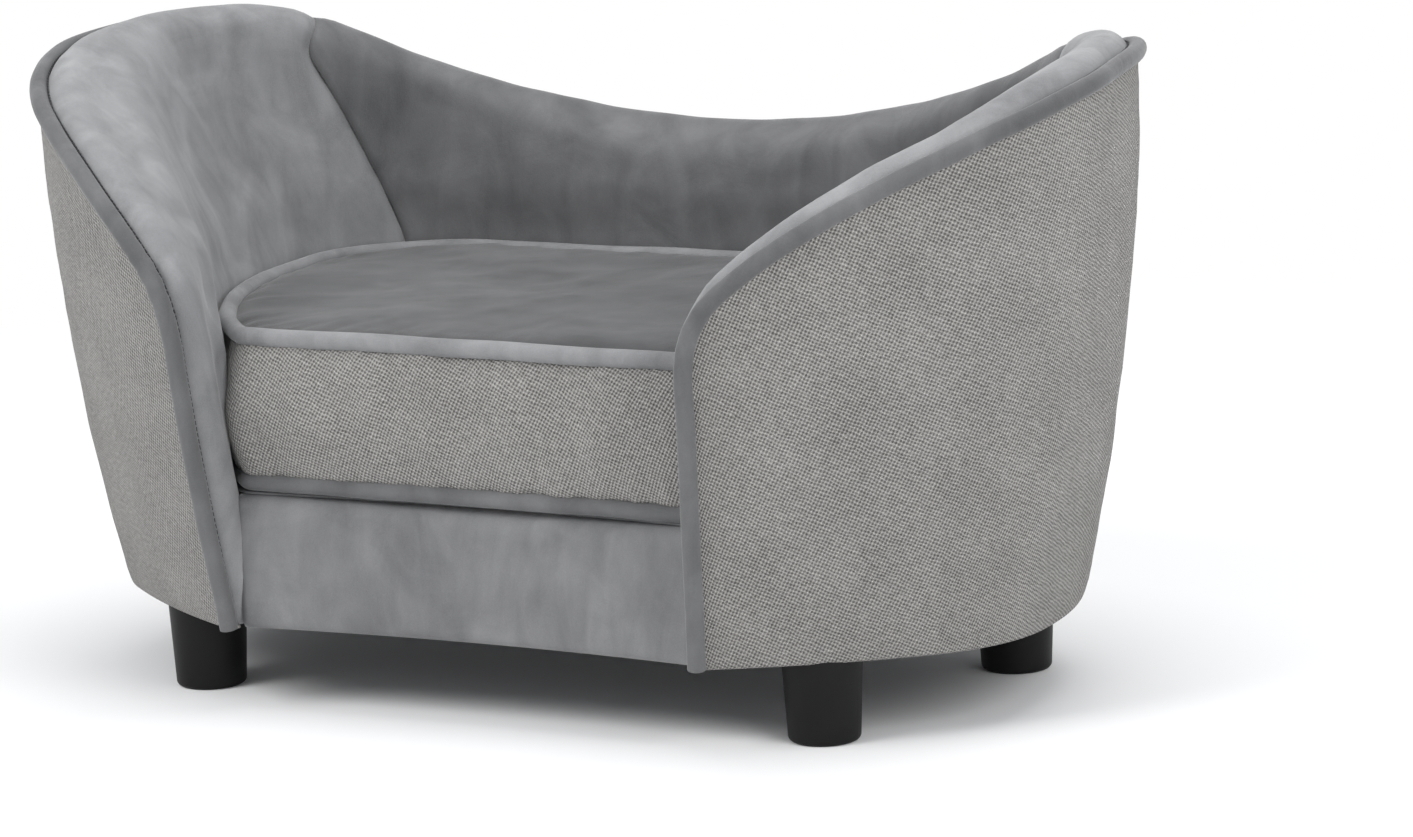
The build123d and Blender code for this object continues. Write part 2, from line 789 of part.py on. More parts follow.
# Deck board with its padding and cover, under the loose cushion
with BuildPart() as deck_board:
    plate(deck_outline(deck_board_bottom, -layer_gap), deck_board_bottom, deck_board_top)
    for screw_x, screw_y in deck_screws:
        round_post(screw_x, screw_y, deck_board_bottom, deck_board_top, screw_radius + screw_fit, Mode.SUBTRACT)
        round_post(
            screw_x,
            screw_y,
            screw_head_low,
            deck_board_top,
            screw_head_radius + screw_fit,
            Mode.SUBTRACT,
        )
deck_board.part.label = "deck_board"
export_step(deck_board.part, "parts/deck_board.step")

with BuildPart() as frame_screws:
    for screw_x, screw_y in deck_screws:
        round_post(screw_x, screw_y, screw_end, screw_head_low, screw_radius)
        round_post(screw_x, screw_y, screw_head_low, deck_board_top, screw_head_radius)
frame_screws.part.label = "frame_screws"
export_step(frame_screws.part, "parts/frame_screws.step")

with BuildPart() as deck_foam:
    plate(deck_outline(deck_foam_bottom, -layer_gap), deck_foam_bottom, deck_foam_top)
deck_foam.part.label = "deck_foam"
export_step(deck_foam.part, "parts/deck_foam.step")

# Velvet apron across the front, with its padding
apron_low_half = 138.0
apron_high_half = 143.0
apron_low_end_y = -166.0
apron_low_middle_y = -158.0
apron_high_end_y = -160.0
apron_high_middle_y = -153.0
apron_foam_inset = 3.0
apron_bottom = leg_height + cloth_under_lift
apron_top = deck_cloth_bottom - cloth_under_lift
apron_foam_top = apron_top - cloth_under_lift


def apron_shape(share):
    # Half width, end and middle of the apron's front at a share of its height
    half = apron_low_half + (apron_high_half - apron_low_half) * share
    end = apron_low_end_y + (apron_high_end_y - apron_low_end_y) * share
    middle = apron_low_middle_y + (apron_high_middle_y - apron_low_middle_y) * share
    return half, end, middle


def apron_loft(shape_at, low, high):
    outlines = []
    for share in (0.0, 1.0):
        with BuildSketch(Plane.XY.offset(low + (high - low) * share)) as outline:
            with BuildLine():
                draw(shape_at(share))
            make_face()
        outlines.append(outline.sketch.face())
    loft(outlines)


def apron_cloth_chain(share):
    half, end, middle = apron_shape(share)
    thick = lining_cloth
    return [
        ((-half, end), (0.0, middle), (half, end)),
        ((half, end), (half, end + thick)),
        ((half, end + thick), (0.0, middle + thick), (-half, end + thick)),
        ((-half, end + thick), (-half, end)),
    ]


def apron_foam_chain(share):
    half, end, middle = apron_shape(share)
    step = lining_cloth + layer_gap
    back = arm_nose_y - layer_gap
    half = half - apron_foam_inset
    return [
        ((-half, end + step), (0.0, middle + step), (half, end + step)),
        ((half, end + step), (half, back)),
        ((half, back), (-half, back)),
        ((-half, back), (-half, end + step)),
    ]


with BuildPart() as front_apron:
    apron_loft(apron_cloth_chain, apron_bottom, apron_top)
front_apron.part.label = "front_apron"
export_step(front_apron.part, "parts/front_apron.step")

with BuildPart() as apron_foam:
    apron_loft(apron_foam_chain, apron_bottom, apron_foam_top)
apron_foam.part.label = "apron_foam"
export_step(apron_foam.part, "parts/apron_foam.step")

with BuildPart() as deck_cover:
    with BuildSketch(Plane.XY.offset(deck_cloth_bottom)):
        with BuildLine():
            deck_sizes = inner_sizes(deck_height)
            deck_right = inner_chain(*deck_sizes, grow=-layer_gap)
            deck_nose = deck_right[-1][-1]
            deck_lip = (deck_lip_x, deck_lip_y)
            deck_end = (apron_high_half, apron_high_end_y)
            draw(inner_path(deck_right))
            Polyline(deck_nose, deck_lip, deck_end)
            ThreePointArc(deck_end, (0, apron_high_middle_y), (-deck_end[0], deck_end[1]))
            Polyline((-deck_end[0], deck_end[1]), (-deck_lip[0], deck_lip[1]), (-deck_nose[0], deck_nose[1]))
        make_face()
    extrude(amount=lining_cloth)
deck_cover.part.label = "deck_cover"
export_step(deck_cover.part, "parts/deck_cover.step")

# Loose seat cushion
cushion_base = 124.6
cushion_top = seat_height
panel_cloth = 1.6
box_cloth = 1.6
zip_recess = 6.0
cushion_cord_low = cushion_base + piping_radius
cushion_cord_high = cushion_top - piping_radius
bulge_in = 4.4
bulge_mid = 1.6
bulge_out = 0.6
panel_inset = 2 * piping_radius + layer_gap
panel_bottom = cushion_base + layer_gap
panel_edge_z = cushion_cord_high - piping_radius / 3
crown_shares = [1.0, 0.975, 0.92, 0.8, 0.6]
crown_rises = [0.0, 0.42, 0.76, 0.95, 1.0]
crown_rise = 8.0
foam_top = panel_edge_z - panel_cloth - 2 * layer_gap
foam_bottom = panel_bottom + panel_cloth + layer_gap


def cushion_chain(grow, back_shift=0.0, spread=1.0):
    # Plan of the cushion; spread draws it in towards the middle
    corner = seat_front_corner + grow
    side_centre = (seat_width / 2 - seat_side_radius, widest_y)
    corner_centre = (seat_front_half, seat_front_y + seat_front_corner)
    lean = math.degrees(math.atan2(corner_centre[1] - side_centre[1], corner_centre[0] - side_centre[0]))
    wide = seat_width / 2 + grow
    rear = seat_back_y - back_shift + grow
    back_corner = seat_back_corner + grow
    back_centre = (seat_width / 2 - seat_back_corner, seat_back_y - back_shift - seat_back_corner)
    right = [
        tuple(on_arc(corner_centre, corner, a) for a in (-90.0, (lean - 90.0) / 2, lean)),
        tuple(on_arc(side_centre, seat_side_radius + grow, a) for a in (lean, lean / 2, 0.0)),
        ((wide, widest_y), (wide, back_centre[1])),
        tuple(on_arc(back_centre, back_corner, a) for a in (0.0, 45.0, 90.0)),
    ]
    front = right[0][0]
    back = right[-1][-1]
    chain = right + [(back, (-back[0], back[1]))] + mirrored(right) + [((-front[0], front[1]), front)]
    centre_y = (seat_front_y + seat_back_y) / 2
    return [tuple((x * spread, centre_y + (y - centre_y) * spread) for x, y in points) for points in chain]


def cushion_loft(steps, back_shift, mode=Mode.ADD):
    # Solid through outlines at heights, each with its growth and spread
    outlines = []
    for z, grow, spread in steps:
        with BuildSketch(Plane.XY.offset(z)) as outline:
            with BuildLine():
                draw(cushion_chain(grow, back_shift, spread))
            make_face()
        outlines.append(outline.sketch.face())
    loft(outlines, mode=mode)


def crown_steps(edge_z, inset, drop):
    return [
        (edge_z - drop + crown_rise * rise, -inset, share)
        for rise, share in zip(crown_rises, crown_shares)
    ]


# Piping round the top and the bottom of the cushion
cushion_cords = {"cushion_top_piping": cushion_cord_high, "cushion_bottom_piping": cushion_cord_low}
for cord_name, cord_z in cushion_cords.items():
    with BuildPart() as cushion_cord:
        with BuildLine(Plane.XY.offset(cord_z)) as cord_path:
            draw(cushion_chain(-piping_radius))
        with BuildSketch(Plane(origin=cord_path.line @ 0, z_dir=cord_path.line % 0)):
            Circle(piping_radius)
        sweep()
    cushion_cord.part.label = cord_name
    export_step(cushion_cord.part, "parts/" + cord_name + ".step")

# Woven band round the sides, slightly bulged, open where the zip is
zip_y = seat_back_y - zip_recess
zip_z = (cushion_cord_low + cushion_cord_high) / 2
zip_slot_half = 138.0
zip_slot_height = 22.0
box_low = cushion_cord_low + piping_radius + layer_gap
box_high = cushion_cord_high - piping_radius - layer_gap
box_step = (box_high - box_low) / 4
box_grows = [-bulge_in, -bulge_mid, -bulge_out, -bulge_mid, -bulge_in]
with BuildPart() as cushion_boxing:
    cushion_loft([(box_low + box_step * i, g, 1.0) for i, g in enumerate(box_grows)], zip_recess)
    cushion_loft(
        [(box_low + box_step * i, g - box_cloth, 1.0) for i, g in enumerate(box_grows)],
        zip_recess,
        Mode.SUBTRACT,
    )
    block(
        -zip_slot_half,
        zip_slot_half,
        zip_y - overrun,
        zip_y + overrun,
        zip_z - zip_slot_height / 2,
        zip_z + zip_slot_height / 2,
        Mode.SUBTRACT,
    )
cushion_boxing.part.label = "cushion_boxing"
export_step(cushion_boxing.part, "parts/cushion_boxing.step")

# Top and bottom panels
with BuildPart() as cushion_top_panel:
    cushion_loft(crown_steps(panel_edge_z, panel_inset, 0.0), 0.0)
    cushion_loft(crown_steps(panel_edge_z, panel_inset + panel_cloth, panel_cloth), 0.0, Mode.SUBTRACT)
cushion_top_panel.part.label = "cushion_top_panel"
export_step(cushion_top_panel.part, "parts/cushion_top_panel.step")

with BuildPart() as cushion_bottom_panel:
    plate(cushion_chain(-panel_inset), panel_bottom, panel_bottom + panel_cloth)
cushion_bottom_panel.part.label = "cushion_bottom_panel"
export_step(cushion_bottom_panel.part, "parts/cushion_bottom_panel.step")

# Fibre layer under the crowned top, and the foam block
wadding_inset = panel_inset + panel_cloth + layer_gap
with BuildPart() as cushion_wadding:
    cushion_loft(crown_steps(panel_edge_z, wadding_inset, panel_cloth + layer_gap), 0.0)
cushion_wadding.part.label = "cushion_wadding"
export_step(cushion_wadding.part, "parts/cushion_wadding.step")

foam_side_step = (foam_top - foam_bottom) / 4
foam_grows = [-wadding_inset, -bulge_mid - 2 * box_cloth - layer_gap, -bulge_out - box_cloth - 2 * layer_gap]
foam_grows = foam_grows + [foam_grows[1], foam_grows[0]]
with BuildPart() as cushion_foam:
    cushion_loft([(foam_bottom + foam_side_step * i, g, 1.0) for i, g in enumerate(foam_grows)], zip_recess)
cushion_foam.part.label = "cushion_foam"
export_step(cushion_foam.part, "parts/cushion_foam.step")

# Zip along the back of the cushion
tape_thickness = 1.6
tape_height = 11.0
tape_gap = 1.0
tooth_pitch = 3.0
tooth_width = 1.9
tooth_height = 4.6
tooth_depth = 2.0
tooth_reach = 1.0
zip_end_half = 133.0
stop_width = 3.0
tape_y = zip_y - bulge_out - box_cloth / 2 - tape_thickness / 2
tape_back_y = tape_y + tape_thickness
tooth_count = int(2 * (zip_end_half - stop_width) / tooth_pitch)

tape_sides = {"zip_tape_upper": 1, "zip_tape_lower": -1}
for tape_name, side in tape_sides.items():
    near = zip_z + side * tape_gap / 2
    far = zip_z + side * (tape_height - layer_gap)
    with BuildPart() as zip_tape:
        block(
            -zip_slot_half + layer_gap,
            zip_slot_half - layer_gap,
            tape_y,
            tape_back_y,
            min(near, far),
            max(near, far),
        )
    zip_tape.part.label = tape_name
    export_step(zip_tape.part, "parts/" + tape_name + ".step")

with BuildPart() as zip_teeth:
    for i in range(tooth_count):
        tooth_x = -zip_end_half + stop_width + tooth_pitch * (i + 0.5)
        side = 1 if i % 2 == 0 else -1
        tooth_low = zip_z - tooth_height / 2 + side * tooth_reach / 2
        block(
            tooth_x - tooth_width / 2,
            tooth_x + tooth_width / 2,
            tape_back_y,
            tape_back_y + tooth_depth,
            tooth_low,
            tooth_low + tooth_height,
        )
zip_teeth.part.label = "zip_teeth"
export_step(zip_teeth.part, "parts/zip_teeth.step")

with BuildPart() as zip_stops:
    for side in (-1, 1):
        stop_low_x = side * zip_end_half - (stop_width if side > 0 else 0)
        block(
            stop_low_x,
            stop_low_x + stop_width - tooth_pitch + tooth_width,
            tape_back_y,
            tape_back_y + tooth_depth,
            zip_z - tooth_height,
            zip_z + tooth_height,
        )
zip_stops.part.label = "zip_stops"
export_step(zip_stops.part, "parts/zip_stops.step")

# Slider that runs over the teeth, with its pull
slider_length = 10.0
slider_height = 10.0
slider_wall = 1.4
slider_play = 0.3
slider_corner_share = 0.25
slider_x = zip_end_half - stop_width - slider_length / 2 - slider_play
slider_low_y = tape_back_y + slider_play
slider_channel_y = tape_back_y + tooth_depth + slider_play
slider_high_y = slider_channel_y + slider_wall
channel_half = (tooth_height + tooth_reach) / 2 + slider_play
with BuildPart() as zip_slider:
    block(
        slider_x - slider_length / 2,
        slider_x + slider_length / 2,
        slider_low_y,
        slider_high_y,
        zip_z - slider_height / 2,
        zip_z + slider_height / 2,
    )
    fillet(zip_slider.edges().filter_by(Axis.Y), radius=slider_length * slider_corner_share)
    block(
        slider_x - slider_length,
        slider_x + slider_length,
        slider_low_y,
        slider_channel_y,
        zip_z - channel_half,
        zip_z + channel_half,
        Mode.SUBTRACT,
    )
zip_slider.part.label = "zip_slider"
export_step(zip_slider.part, "parts/zip_slider.step")

pull_length = 16.0
pull_width = 5.0
pull_thickness = 1.0
pull_pin_radius = 1.2
pull_rest = 0.2
pull_corner_share = 0.4
pull_y = slider_high_y + pull_rest
with BuildPart() as zip_pull:
    block(
        slider_x - pull_width / 2,
        slider_x + pull_width / 2,
        pull_y,
        pull_y + pull_thickness,
        zip_z - pull_length + slider_height / 2 - slider_wall,
        zip_z + slider_height / 2 - slider_wall,
    )
    fillet(zip_pull.edges().filter_by(Axis.Y), radius=pull_width * pull_corner_share)
    with BuildSketch(Plane.XZ.offset(-pull_y)) as pin:
        with Locations((slider_x, zip_z + slider_height / 2 - 2 * slider_wall)):
            Circle(pull_pin_radius)
    extrude(pin.sketch, amount=pull_rest, mode=Mode.ADD)
zip_pull.part.label = "zip_pull"
export_step(zip_pull.part, "parts/zip_pull.step")
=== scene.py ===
import math

import bmesh
import bpy
from mathutils import Matrix, Vector, noise


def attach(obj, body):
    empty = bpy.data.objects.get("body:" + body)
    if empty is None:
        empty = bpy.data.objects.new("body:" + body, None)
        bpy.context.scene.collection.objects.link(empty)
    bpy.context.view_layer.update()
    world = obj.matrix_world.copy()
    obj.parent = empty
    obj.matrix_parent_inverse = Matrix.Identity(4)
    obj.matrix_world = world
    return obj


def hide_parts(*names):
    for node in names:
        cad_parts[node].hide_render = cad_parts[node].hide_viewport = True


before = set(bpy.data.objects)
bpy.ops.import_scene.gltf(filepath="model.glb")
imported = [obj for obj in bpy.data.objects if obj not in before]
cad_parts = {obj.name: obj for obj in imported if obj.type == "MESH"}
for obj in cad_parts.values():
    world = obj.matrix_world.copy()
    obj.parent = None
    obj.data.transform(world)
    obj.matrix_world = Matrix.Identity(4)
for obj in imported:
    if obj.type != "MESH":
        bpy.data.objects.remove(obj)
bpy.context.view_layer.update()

bl_info = {
    "name": "Dog sofa bed",
    "version": (1, 0, 0),
    "blender": (4, 5, 0),
    "location": "View3D > Sidebar > Sofa bed",
    "description": "Builds the upholstery, finishes and studio of a small dog sofa bed",
    "category": "Object",
}

# Lengths are in millimetres and angles in degrees, until a mesh is made.
MM = 0.001
LEG = 48.0
WIDTH, DEPTH, HEIGHT = 665.5, 406.4, 368.3

# Outer wall: how it leans out, the radius of each arc of its foot, the turn at which the arc ends, and
# the angle of the back's middle, over which the left half begins
FLARE, FLARE_POWER = 37.0, 1.7
SIDE_R, CORNER_R, FRONT_R, FACE_R = 250.0, 112.0, 100.0, 472.0
SIDE_TURN, CORNER_TURN, FRONT_TURN, FACE_TURN = 20.0, 70.0, -48.0, -64.0
MIDDLE_ANGLE = 90.0
BACK_REACH = 165.1

# Piping at the rim, and the padded roll inside it: its size, how far it lies inside the rim and below it,
# and its turn at the arm's front, which becomes the wall's own turn over some places
PIPE_R = 5.2
ROLL_W, ROLL_H, ROLL_SINK = 13.4, 12.0, 3.2
ROLL_OUT = -(PIPE_R + 0.8 + ROLL_W)
ROLL_FRONT_TURN, ROLL_TURN_PLACES = -90.0, 10

# Seat, and the gap round the loose cushion
SEAT_W, SEAT_D, SEAT_H, DECK_H = 460.0, 300.0, 218.4, 124.0
SEAT_FRONT, SEAT_FRONT_HALF, SEAT_FRONT_CORNER, SEAT_BACK_CORNER = -158.0, 138.0, 14.0, 89.0
WIDEST_Y = 46.0
NOSE_Y = -140.0
SEAT_GAP = 2.6

# Rim: the upright front of the arm, its bend, and the wall angles of the places after it
FRONT_TOP = 0.585 * HEIGHT
FRONT_SHARES = (0.0, 0.22, 0.43, 0.62, 0.78, 0.9, 1.0)
BEND_R, BEND_TURNS, BEND_REACH = 60.0, (18.0, 36.0, 54.0), 44.0
SEAM_WALL_ANGLE = 50.0
RIM_ANGLES = (
    -58.7, -55.8, -52.0, -47.0, -38.0, -26.0, -12.0, 2.0, 14.0, 26.0, 38.0, SEAM_WALL_ANGLE, 62.0, 71.0, 74.5,
    78.0, 82.0, 86.0,
)

# Inner wall at the rim and at the seat, and the seam between the linings of arm and back
RIM_THICKNESS, RIM_CORNER, RIM_BOW, SEAT_BOW, NOSE_FLARE = 32.0, 117.0, 615.0, 20000.0, 0.55
SEAM_ANGLE, SEAM_Z = 31.0, 240.0

# Thickness of the cloths
COVER_CLOTH, CUSHION_CLOTH, DUST_CLOTH = 1.6, 1.4, 0.9

# Height of the rim along the arm and across the back, as shares of the whole size
ARM_Y = [-0.478, -0.462, -0.436, -0.401, -0.359, -0.31, -0.24, -0.15, -0.04, 0.11]
ARM_Z = [0.685, 0.721, 0.762, 0.805, 0.845, 0.88, 0.917, 0.944, 0.961, 0.968]
BACK_X = [0.0, 0.072, 0.145, 0.205, 0.252, 0.3, 0.345, 0.39, 0.43, 0.478]
BACK_Z = [0.763, 0.768, 0.785, 0.806, 0.829, 0.858, 0.892, 0.928, 0.955, 0.968]

FOOT_HALF = WIDTH / 2 - FLARE - PIPE_R


def rad(angle):
    """Radians of an angle in degrees."""
    return math.radians(angle)


BACK_R = (
    FOOT_HALF
    - SIDE_R * (1 - math.cos(rad(SIDE_TURN)))
    - CORNER_R * (math.cos(rad(SIDE_TURN)) - math.cos(rad(CORNER_TURN)))
) / math.cos(rad(CORNER_TURN))
WALL_Y = (
    BACK_REACH
    - SIDE_R * math.sin(rad(SIDE_TURN))
    - CORNER_R * (math.sin(rad(CORNER_TURN)) - math.sin(rad(SIDE_TURN)))
    - BACK_R * (1 - math.sin(rad(CORNER_TURN)))
)
SEAT_BACK = SEAT_FRONT + SEAT_D
SEAT_SIDE_R = (
    (SEAT_W / 2 - SEAT_FRONT_HALF) ** 2
    + (WIDEST_Y - SEAT_FRONT - SEAT_FRONT_CORNER) ** 2
    - SEAT_FRONT_CORNER**2
) / (2 * (SEAT_W / 2 - SEAT_FRONT_HALF - SEAT_FRONT_CORNER))


def smooth_value(at, xs, ys):
    """Smooth value through points, flat beyond the first and the last."""
    if at <= xs[0]:
        return ys[0]
    if at >= xs[-1]:
        return ys[-1]
    slopes = [(ys[i + 1] - ys[i]) / (xs[i + 1] - xs[i]) for i in range(len(xs) - 1)]
    tangents = [slopes[0]] + [0.0] * (len(xs) - 1)
    for i in range(1, len(xs) - 1):
        if slopes[i - 1] * slopes[i] > 0:
            tangents[i] = 2 * slopes[i - 1] * slopes[i] / (slopes[i - 1] + slopes[i])
    i = max(n for n in range(len(xs) - 1) if xs[n] <= at)
    span = xs[i + 1] - xs[i]
    t = (at - xs[i]) / span
    low = (1 + 2 * t) * (1 - t) ** 2 * ys[i] + t * (1 - t) ** 2 * span * tangents[i]
    return low + t * t * (3 - 2 * t) * ys[i + 1] + t * t * (t - 1) * span * tangents[i + 1]


def step(a, b, x):
    """Soft step from 0 at a to 1 at b."""
    t = min(max((x - a) / (b - a), 0.0), 1.0)
    return t * t * (3 - 2 * t)


def arm_rim(y):
    """Height of the arm's rim at a depth."""
    return HEIGHT * smooth_value(y / DEPTH, ARM_Y, ARM_Z)


def back_rim(x):
    """Height of the back's rim at a distance from the middle."""
    return HEIGHT * smooth_value(abs(x) / WIDTH, BACK_X, BACK_Z)


def flare(z):
    """How far the outer wall leans out at a height."""
    share = min(max((z - LEG) / (HEIGHT - LEG), 0.0), 1.0)
    return FLARE * (1 - (1 - share) ** FLARE_POWER)


def on_arc(centre, radius, angle):
    """Point of a circle at an angle in degrees."""
    return (centre[0] + radius * math.cos(rad(angle)), centre[1] + radius * math.sin(rad(angle)))


def wall_point(angle, z, inset=0.0):
    """Point of the outer wall at an angle of its arcs and a height."""
    if angle > MIDDLE_ANGLE:
        x, y = wall_point(180.0 - angle, z, inset)
        return (-x, y)
    offset = flare(z) - inset
    side = (FOOT_HALF - SIDE_R, WALL_Y)
    corner = on_arc(side, SIDE_R - CORNER_R, SIDE_TURN)
    back = on_arc(corner, CORNER_R - BACK_R, CORNER_TURN)
    front = (FOOT_HALF - FRONT_R, WALL_Y)
    face = on_arc(front, FRONT_R - FACE_R, FRONT_TURN)
    for centre, radius, stop in (
        (face, FACE_R, FRONT_TURN),
        (front, FRONT_R, 0.0),
        (side, SIDE_R, SIDE_TURN),
        (corner, CORNER_R, CORNER_TURN),
        (back, BACK_R, MIDDLE_ANGLE),
    ):
        if angle <= stop:
            return on_arc(centre, radius + offset, angle)
    return on_arc(back, BACK_R + offset, MIDDLE_ANGLE)


def rim_place(angle):
    """Height at which the outer wall meets the rim's line over a wall angle."""
    z = FRONT_TOP
    for _ in range(12):
        x, y = wall_point(angle, z)
        z = (z + min(arm_rim(y), back_rim(x))) / 2
    return z


def rim_top(angle):
    """Height of the rim over a wall angle, the front bend included."""
    if angle > MIDDLE_ANGLE:
        angle = 180.0 - angle
    along = rad(angle - FACE_TURN) * FACE_R
    limit = BEND_R * (1 - math.cos(rad(BEND_TURNS[-1])))
    if along < limit:
        return FRONT_TOP + math.sqrt(max(BEND_R**2 - (BEND_R - along) ** 2, 0.0))
    z = rim_place(angle)
    if along < BEND_REACH:
        at_bend = FRONT_TOP + BEND_R * math.sin(rad(BEND_TURNS[-1]))
        z_far = rim_place(FACE_TURN + math.degrees(BEND_REACH / FACE_R))
        z = at_bend + (z_far - at_bend) * (along - limit) / (BEND_REACH - limit)
    return z


# Real indexes along the rim: where the upright front meets the bend, and the seam of arm and back
BEND_START = len(FRONT_SHARES) - 1
SEAM = len(FRONT_SHARES) + len(BEND_TURNS) + RIM_ANGLES.index(SEAM_WALL_ANGLE)


def rim_places():
    """Places of the rim and the turn of the roll at each, right half then left."""
    walls = []
    for share in FRONT_SHARES:
        z = LEG + (FRONT_TOP - LEG) * share
        walls.append((*wall_point(FACE_TURN, z), z, FACE_TURN))
    for turn in BEND_TURNS:
        z = FRONT_TOP + BEND_R * math.sin(rad(turn))
        angle = FACE_TURN + math.degrees(BEND_R * (1 - math.cos(rad(turn))) / FACE_R)
        walls.append((*wall_point(angle, z), z, angle))
    for angle in RIM_ANGLES:
        z = rim_place(angle)
        walls.append((*wall_point(angle, z), z, angle))
    places = []
    for i, (x, y, z, angle) in enumerate(walls):
        blend = min(max((i - BEND_START) / ROLL_TURN_PLACES, 0.0), 1.0)
        places.append((x, y, z, ROLL_FRONT_TURN + (angle - ROLL_FRONT_TURN) * blend))
    z = rim_place(MIDDLE_ANGLE)
    middle = [(*wall_point(MIDDLE_ANGLE, z), z, MIDDLE_ANGLE)]
    return places + middle + [(-x, y, z, 180.0 - t) for x, y, z, t in reversed(places)]


PLACES = rim_places()
LAST = len(PLACES) - 1


def smooth_along(values, t):
    """Smooth value along a list at a real index."""
    i = min(max(int(math.floor(t)), 0), len(values) - 2)
    f = t - i
    a = values[max(i - 1, 0)]
    b, c = values[i], values[i + 1]
    d = values[min(i + 2, len(values) - 1)]
    return tuple(
        0.5 * (2 * q + (r - p) * f + (2 * p - 5 * q + 4 * r - s) * f * f + (3 * q - p - 3 * r + s) * f**3)
        for p, q, r, s in zip(a, b, c, d)
    )


def rim_frame(t):
    """Centre, outward and up directions of the rim at a real index."""
    x, y, z, turn = smooth_along(PLACES, t)
    ahead = Vector(smooth_along(PLACES, min(t + 0.05, LAST))[:3])
    behind = Vector(smooth_along(PLACES, max(t - 0.05, 0))[:3])
    along = (ahead - behind).normalized()
    out = Vector((math.cos(rad(turn)), math.sin(rad(turn)), 0))
    out = (out - along * out.dot(along)).normalized()
    return Vector((x, y, z)), out, out.cross(along)


def rim_lengths(count=2400):
    """Real indexes along the rim and the length up to each."""
    points = [Vector(smooth_along(PLACES, LAST * i / count)[:3]) for i in range(count + 1)]
    total = [0.0]
    for a, b in zip(points, points[1:]):
        total.append(total[-1] + (b - a).length)
    return [LAST * i / count for i in range(count + 1)], total


RIM_T, RIM_S = rim_lengths()


def rim_t(s):
    """Real index at a length along the rim."""
    lo, hi = 0, len(RIM_S) - 1
    while hi - lo > 1:
        mid = (lo + hi) // 2
        if RIM_S[mid] <= s:
            lo = mid
        else:
            hi = mid
    f = (s - RIM_S[lo]) / max(RIM_S[hi] - RIM_S[lo], 1e-9)
    return RIM_T[lo] + (RIM_T[hi] - RIM_T[lo]) * f


def rim_s(t):
    """Length along the rim at a real index."""
    i = min(int(t / LAST * (len(RIM_S) - 1)), len(RIM_S) - 2)
    f = (t - RIM_T[i]) / (RIM_T[i + 1] - RIM_T[i])
    return RIM_S[i] + (RIM_S[i + 1] - RIM_S[i]) * f


def inner_sizes(z):
    """Half width, back, corner, bow of the back, widest place and nose of the inner wall at a height."""
    seat = (SEAT_W / 2 + SEAT_GAP, SEAT_BACK + SEAT_GAP, SEAT_BACK_CORNER + SEAT_GAP, WIDEST_Y)
    rim = (WIDTH / 2 - PIPE_R - RIM_THICKNESS, DEPTH / 2 - PIPE_R - RIM_THICKNESS, RIM_CORNER, 0.0)
    share = min(max((z - SEAT_H) / (HEIGHT - SEAT_H), 0.0), 1.0)
    wide, back, corner, widest = [a + (b - a) * share for a, b in zip(seat, rim)]
    bow = 1 / ((1 - share) / SEAT_BOW + share / RIM_BOW)
    return wide, back, corner, bow, widest, NOSE_Y - NOSE_FLARE * flare(z)


# Places of the inner wall: 0 in the middle of the back, 1 and 2 at the ends of its corner, 3 at its
# widest, and this one at the nose of the arm; the left half has the same places as negative numbers.
NOSE_PLACE = 4.0


def nose_x_at(nose_y):
    """Half width at the arm's nose, which follows the side of the cushion."""
    return SEAT_W / 2 - SEAT_SIDE_R + math.sqrt((SEAT_SIDE_R + SEAT_GAP) ** 2 - (WIDEST_Y - nose_y) ** 2)


def inner_point(c, z):
    """Point of the inner wall at a place and a height."""
    if c < 0:
        x, y = inner_point(-c, z)
        return (-x, y)
    wide, back_y, corner, bow, widest, nose_y = inner_sizes(z)
    rise = widest - nose_y
    turn = 2 * math.atan((wide - nose_x_at(nose_y)) / rise)
    radius = rise / math.sin(turn)
    back = (0.0, back_y - bow)
    bend_y = back[1] + math.sqrt((bow - corner) ** 2 - (wide - corner) ** 2)
    start = math.degrees(math.atan2(bend_y - back[1], wide - corner))
    if c <= 1:
        return on_arc(back, bow, 90.0 + (start - 90.0) * c)
    if c <= 2:
        return on_arc((wide - corner, bend_y), corner, start * (2 - c))
    if c <= 3:
        return (wide, bend_y + (widest - bend_y) * (c - 2))
    return on_arc((wide - radius, widest), radius, -math.degrees(turn) * (c - 3))


# Shader maths and node trees
class Sock:
    """A node's output; arithmetic on it adds Math nodes."""

    def __init__(self, nodes, out):
        self.nodes, self.out = nodes, out

    def maths(self, op, first, second=None):
        """Result of one Math node."""
        return self.nodes.node("ShaderNodeMath", {0: first, 1: second}, operation=op)

    def __add__(self, other):
        return self.maths("ADD", self, other)

    def __radd__(self, other):
        return self.maths("ADD", other, self)

    def __sub__(self, other):
        return self.maths("SUBTRACT", self, other)

    def __rsub__(self, other):
        return self.maths("SUBTRACT", other, self)

    def __mul__(self, other):
        return self.maths("MULTIPLY", self, other)

    def __rmul__(self, other):
        return self.maths("MULTIPLY", other, self)

    def __truediv__(self, other):
        return self.maths("DIVIDE", self, other)

    def __rtruediv__(self, other):
        return self.maths("DIVIDE", other, self)

    def __pow__(self, other):
        return self.maths("POWER", self, other)

    def __rpow__(self, other):
        return self.maths("POWER", other, self)

    def sin(self):
        """Sine of the value."""
        return self.maths("SINE", self)

    def larger(self, other):
        """The larger of two values."""
        return self.maths("MAXIMUM", self, other)

    def clip(self, low, high):
        """The value kept between two limits."""
        return self.nodes.node("ShaderNodeClamp", {"Value": self, "Min": low, "Max": high})


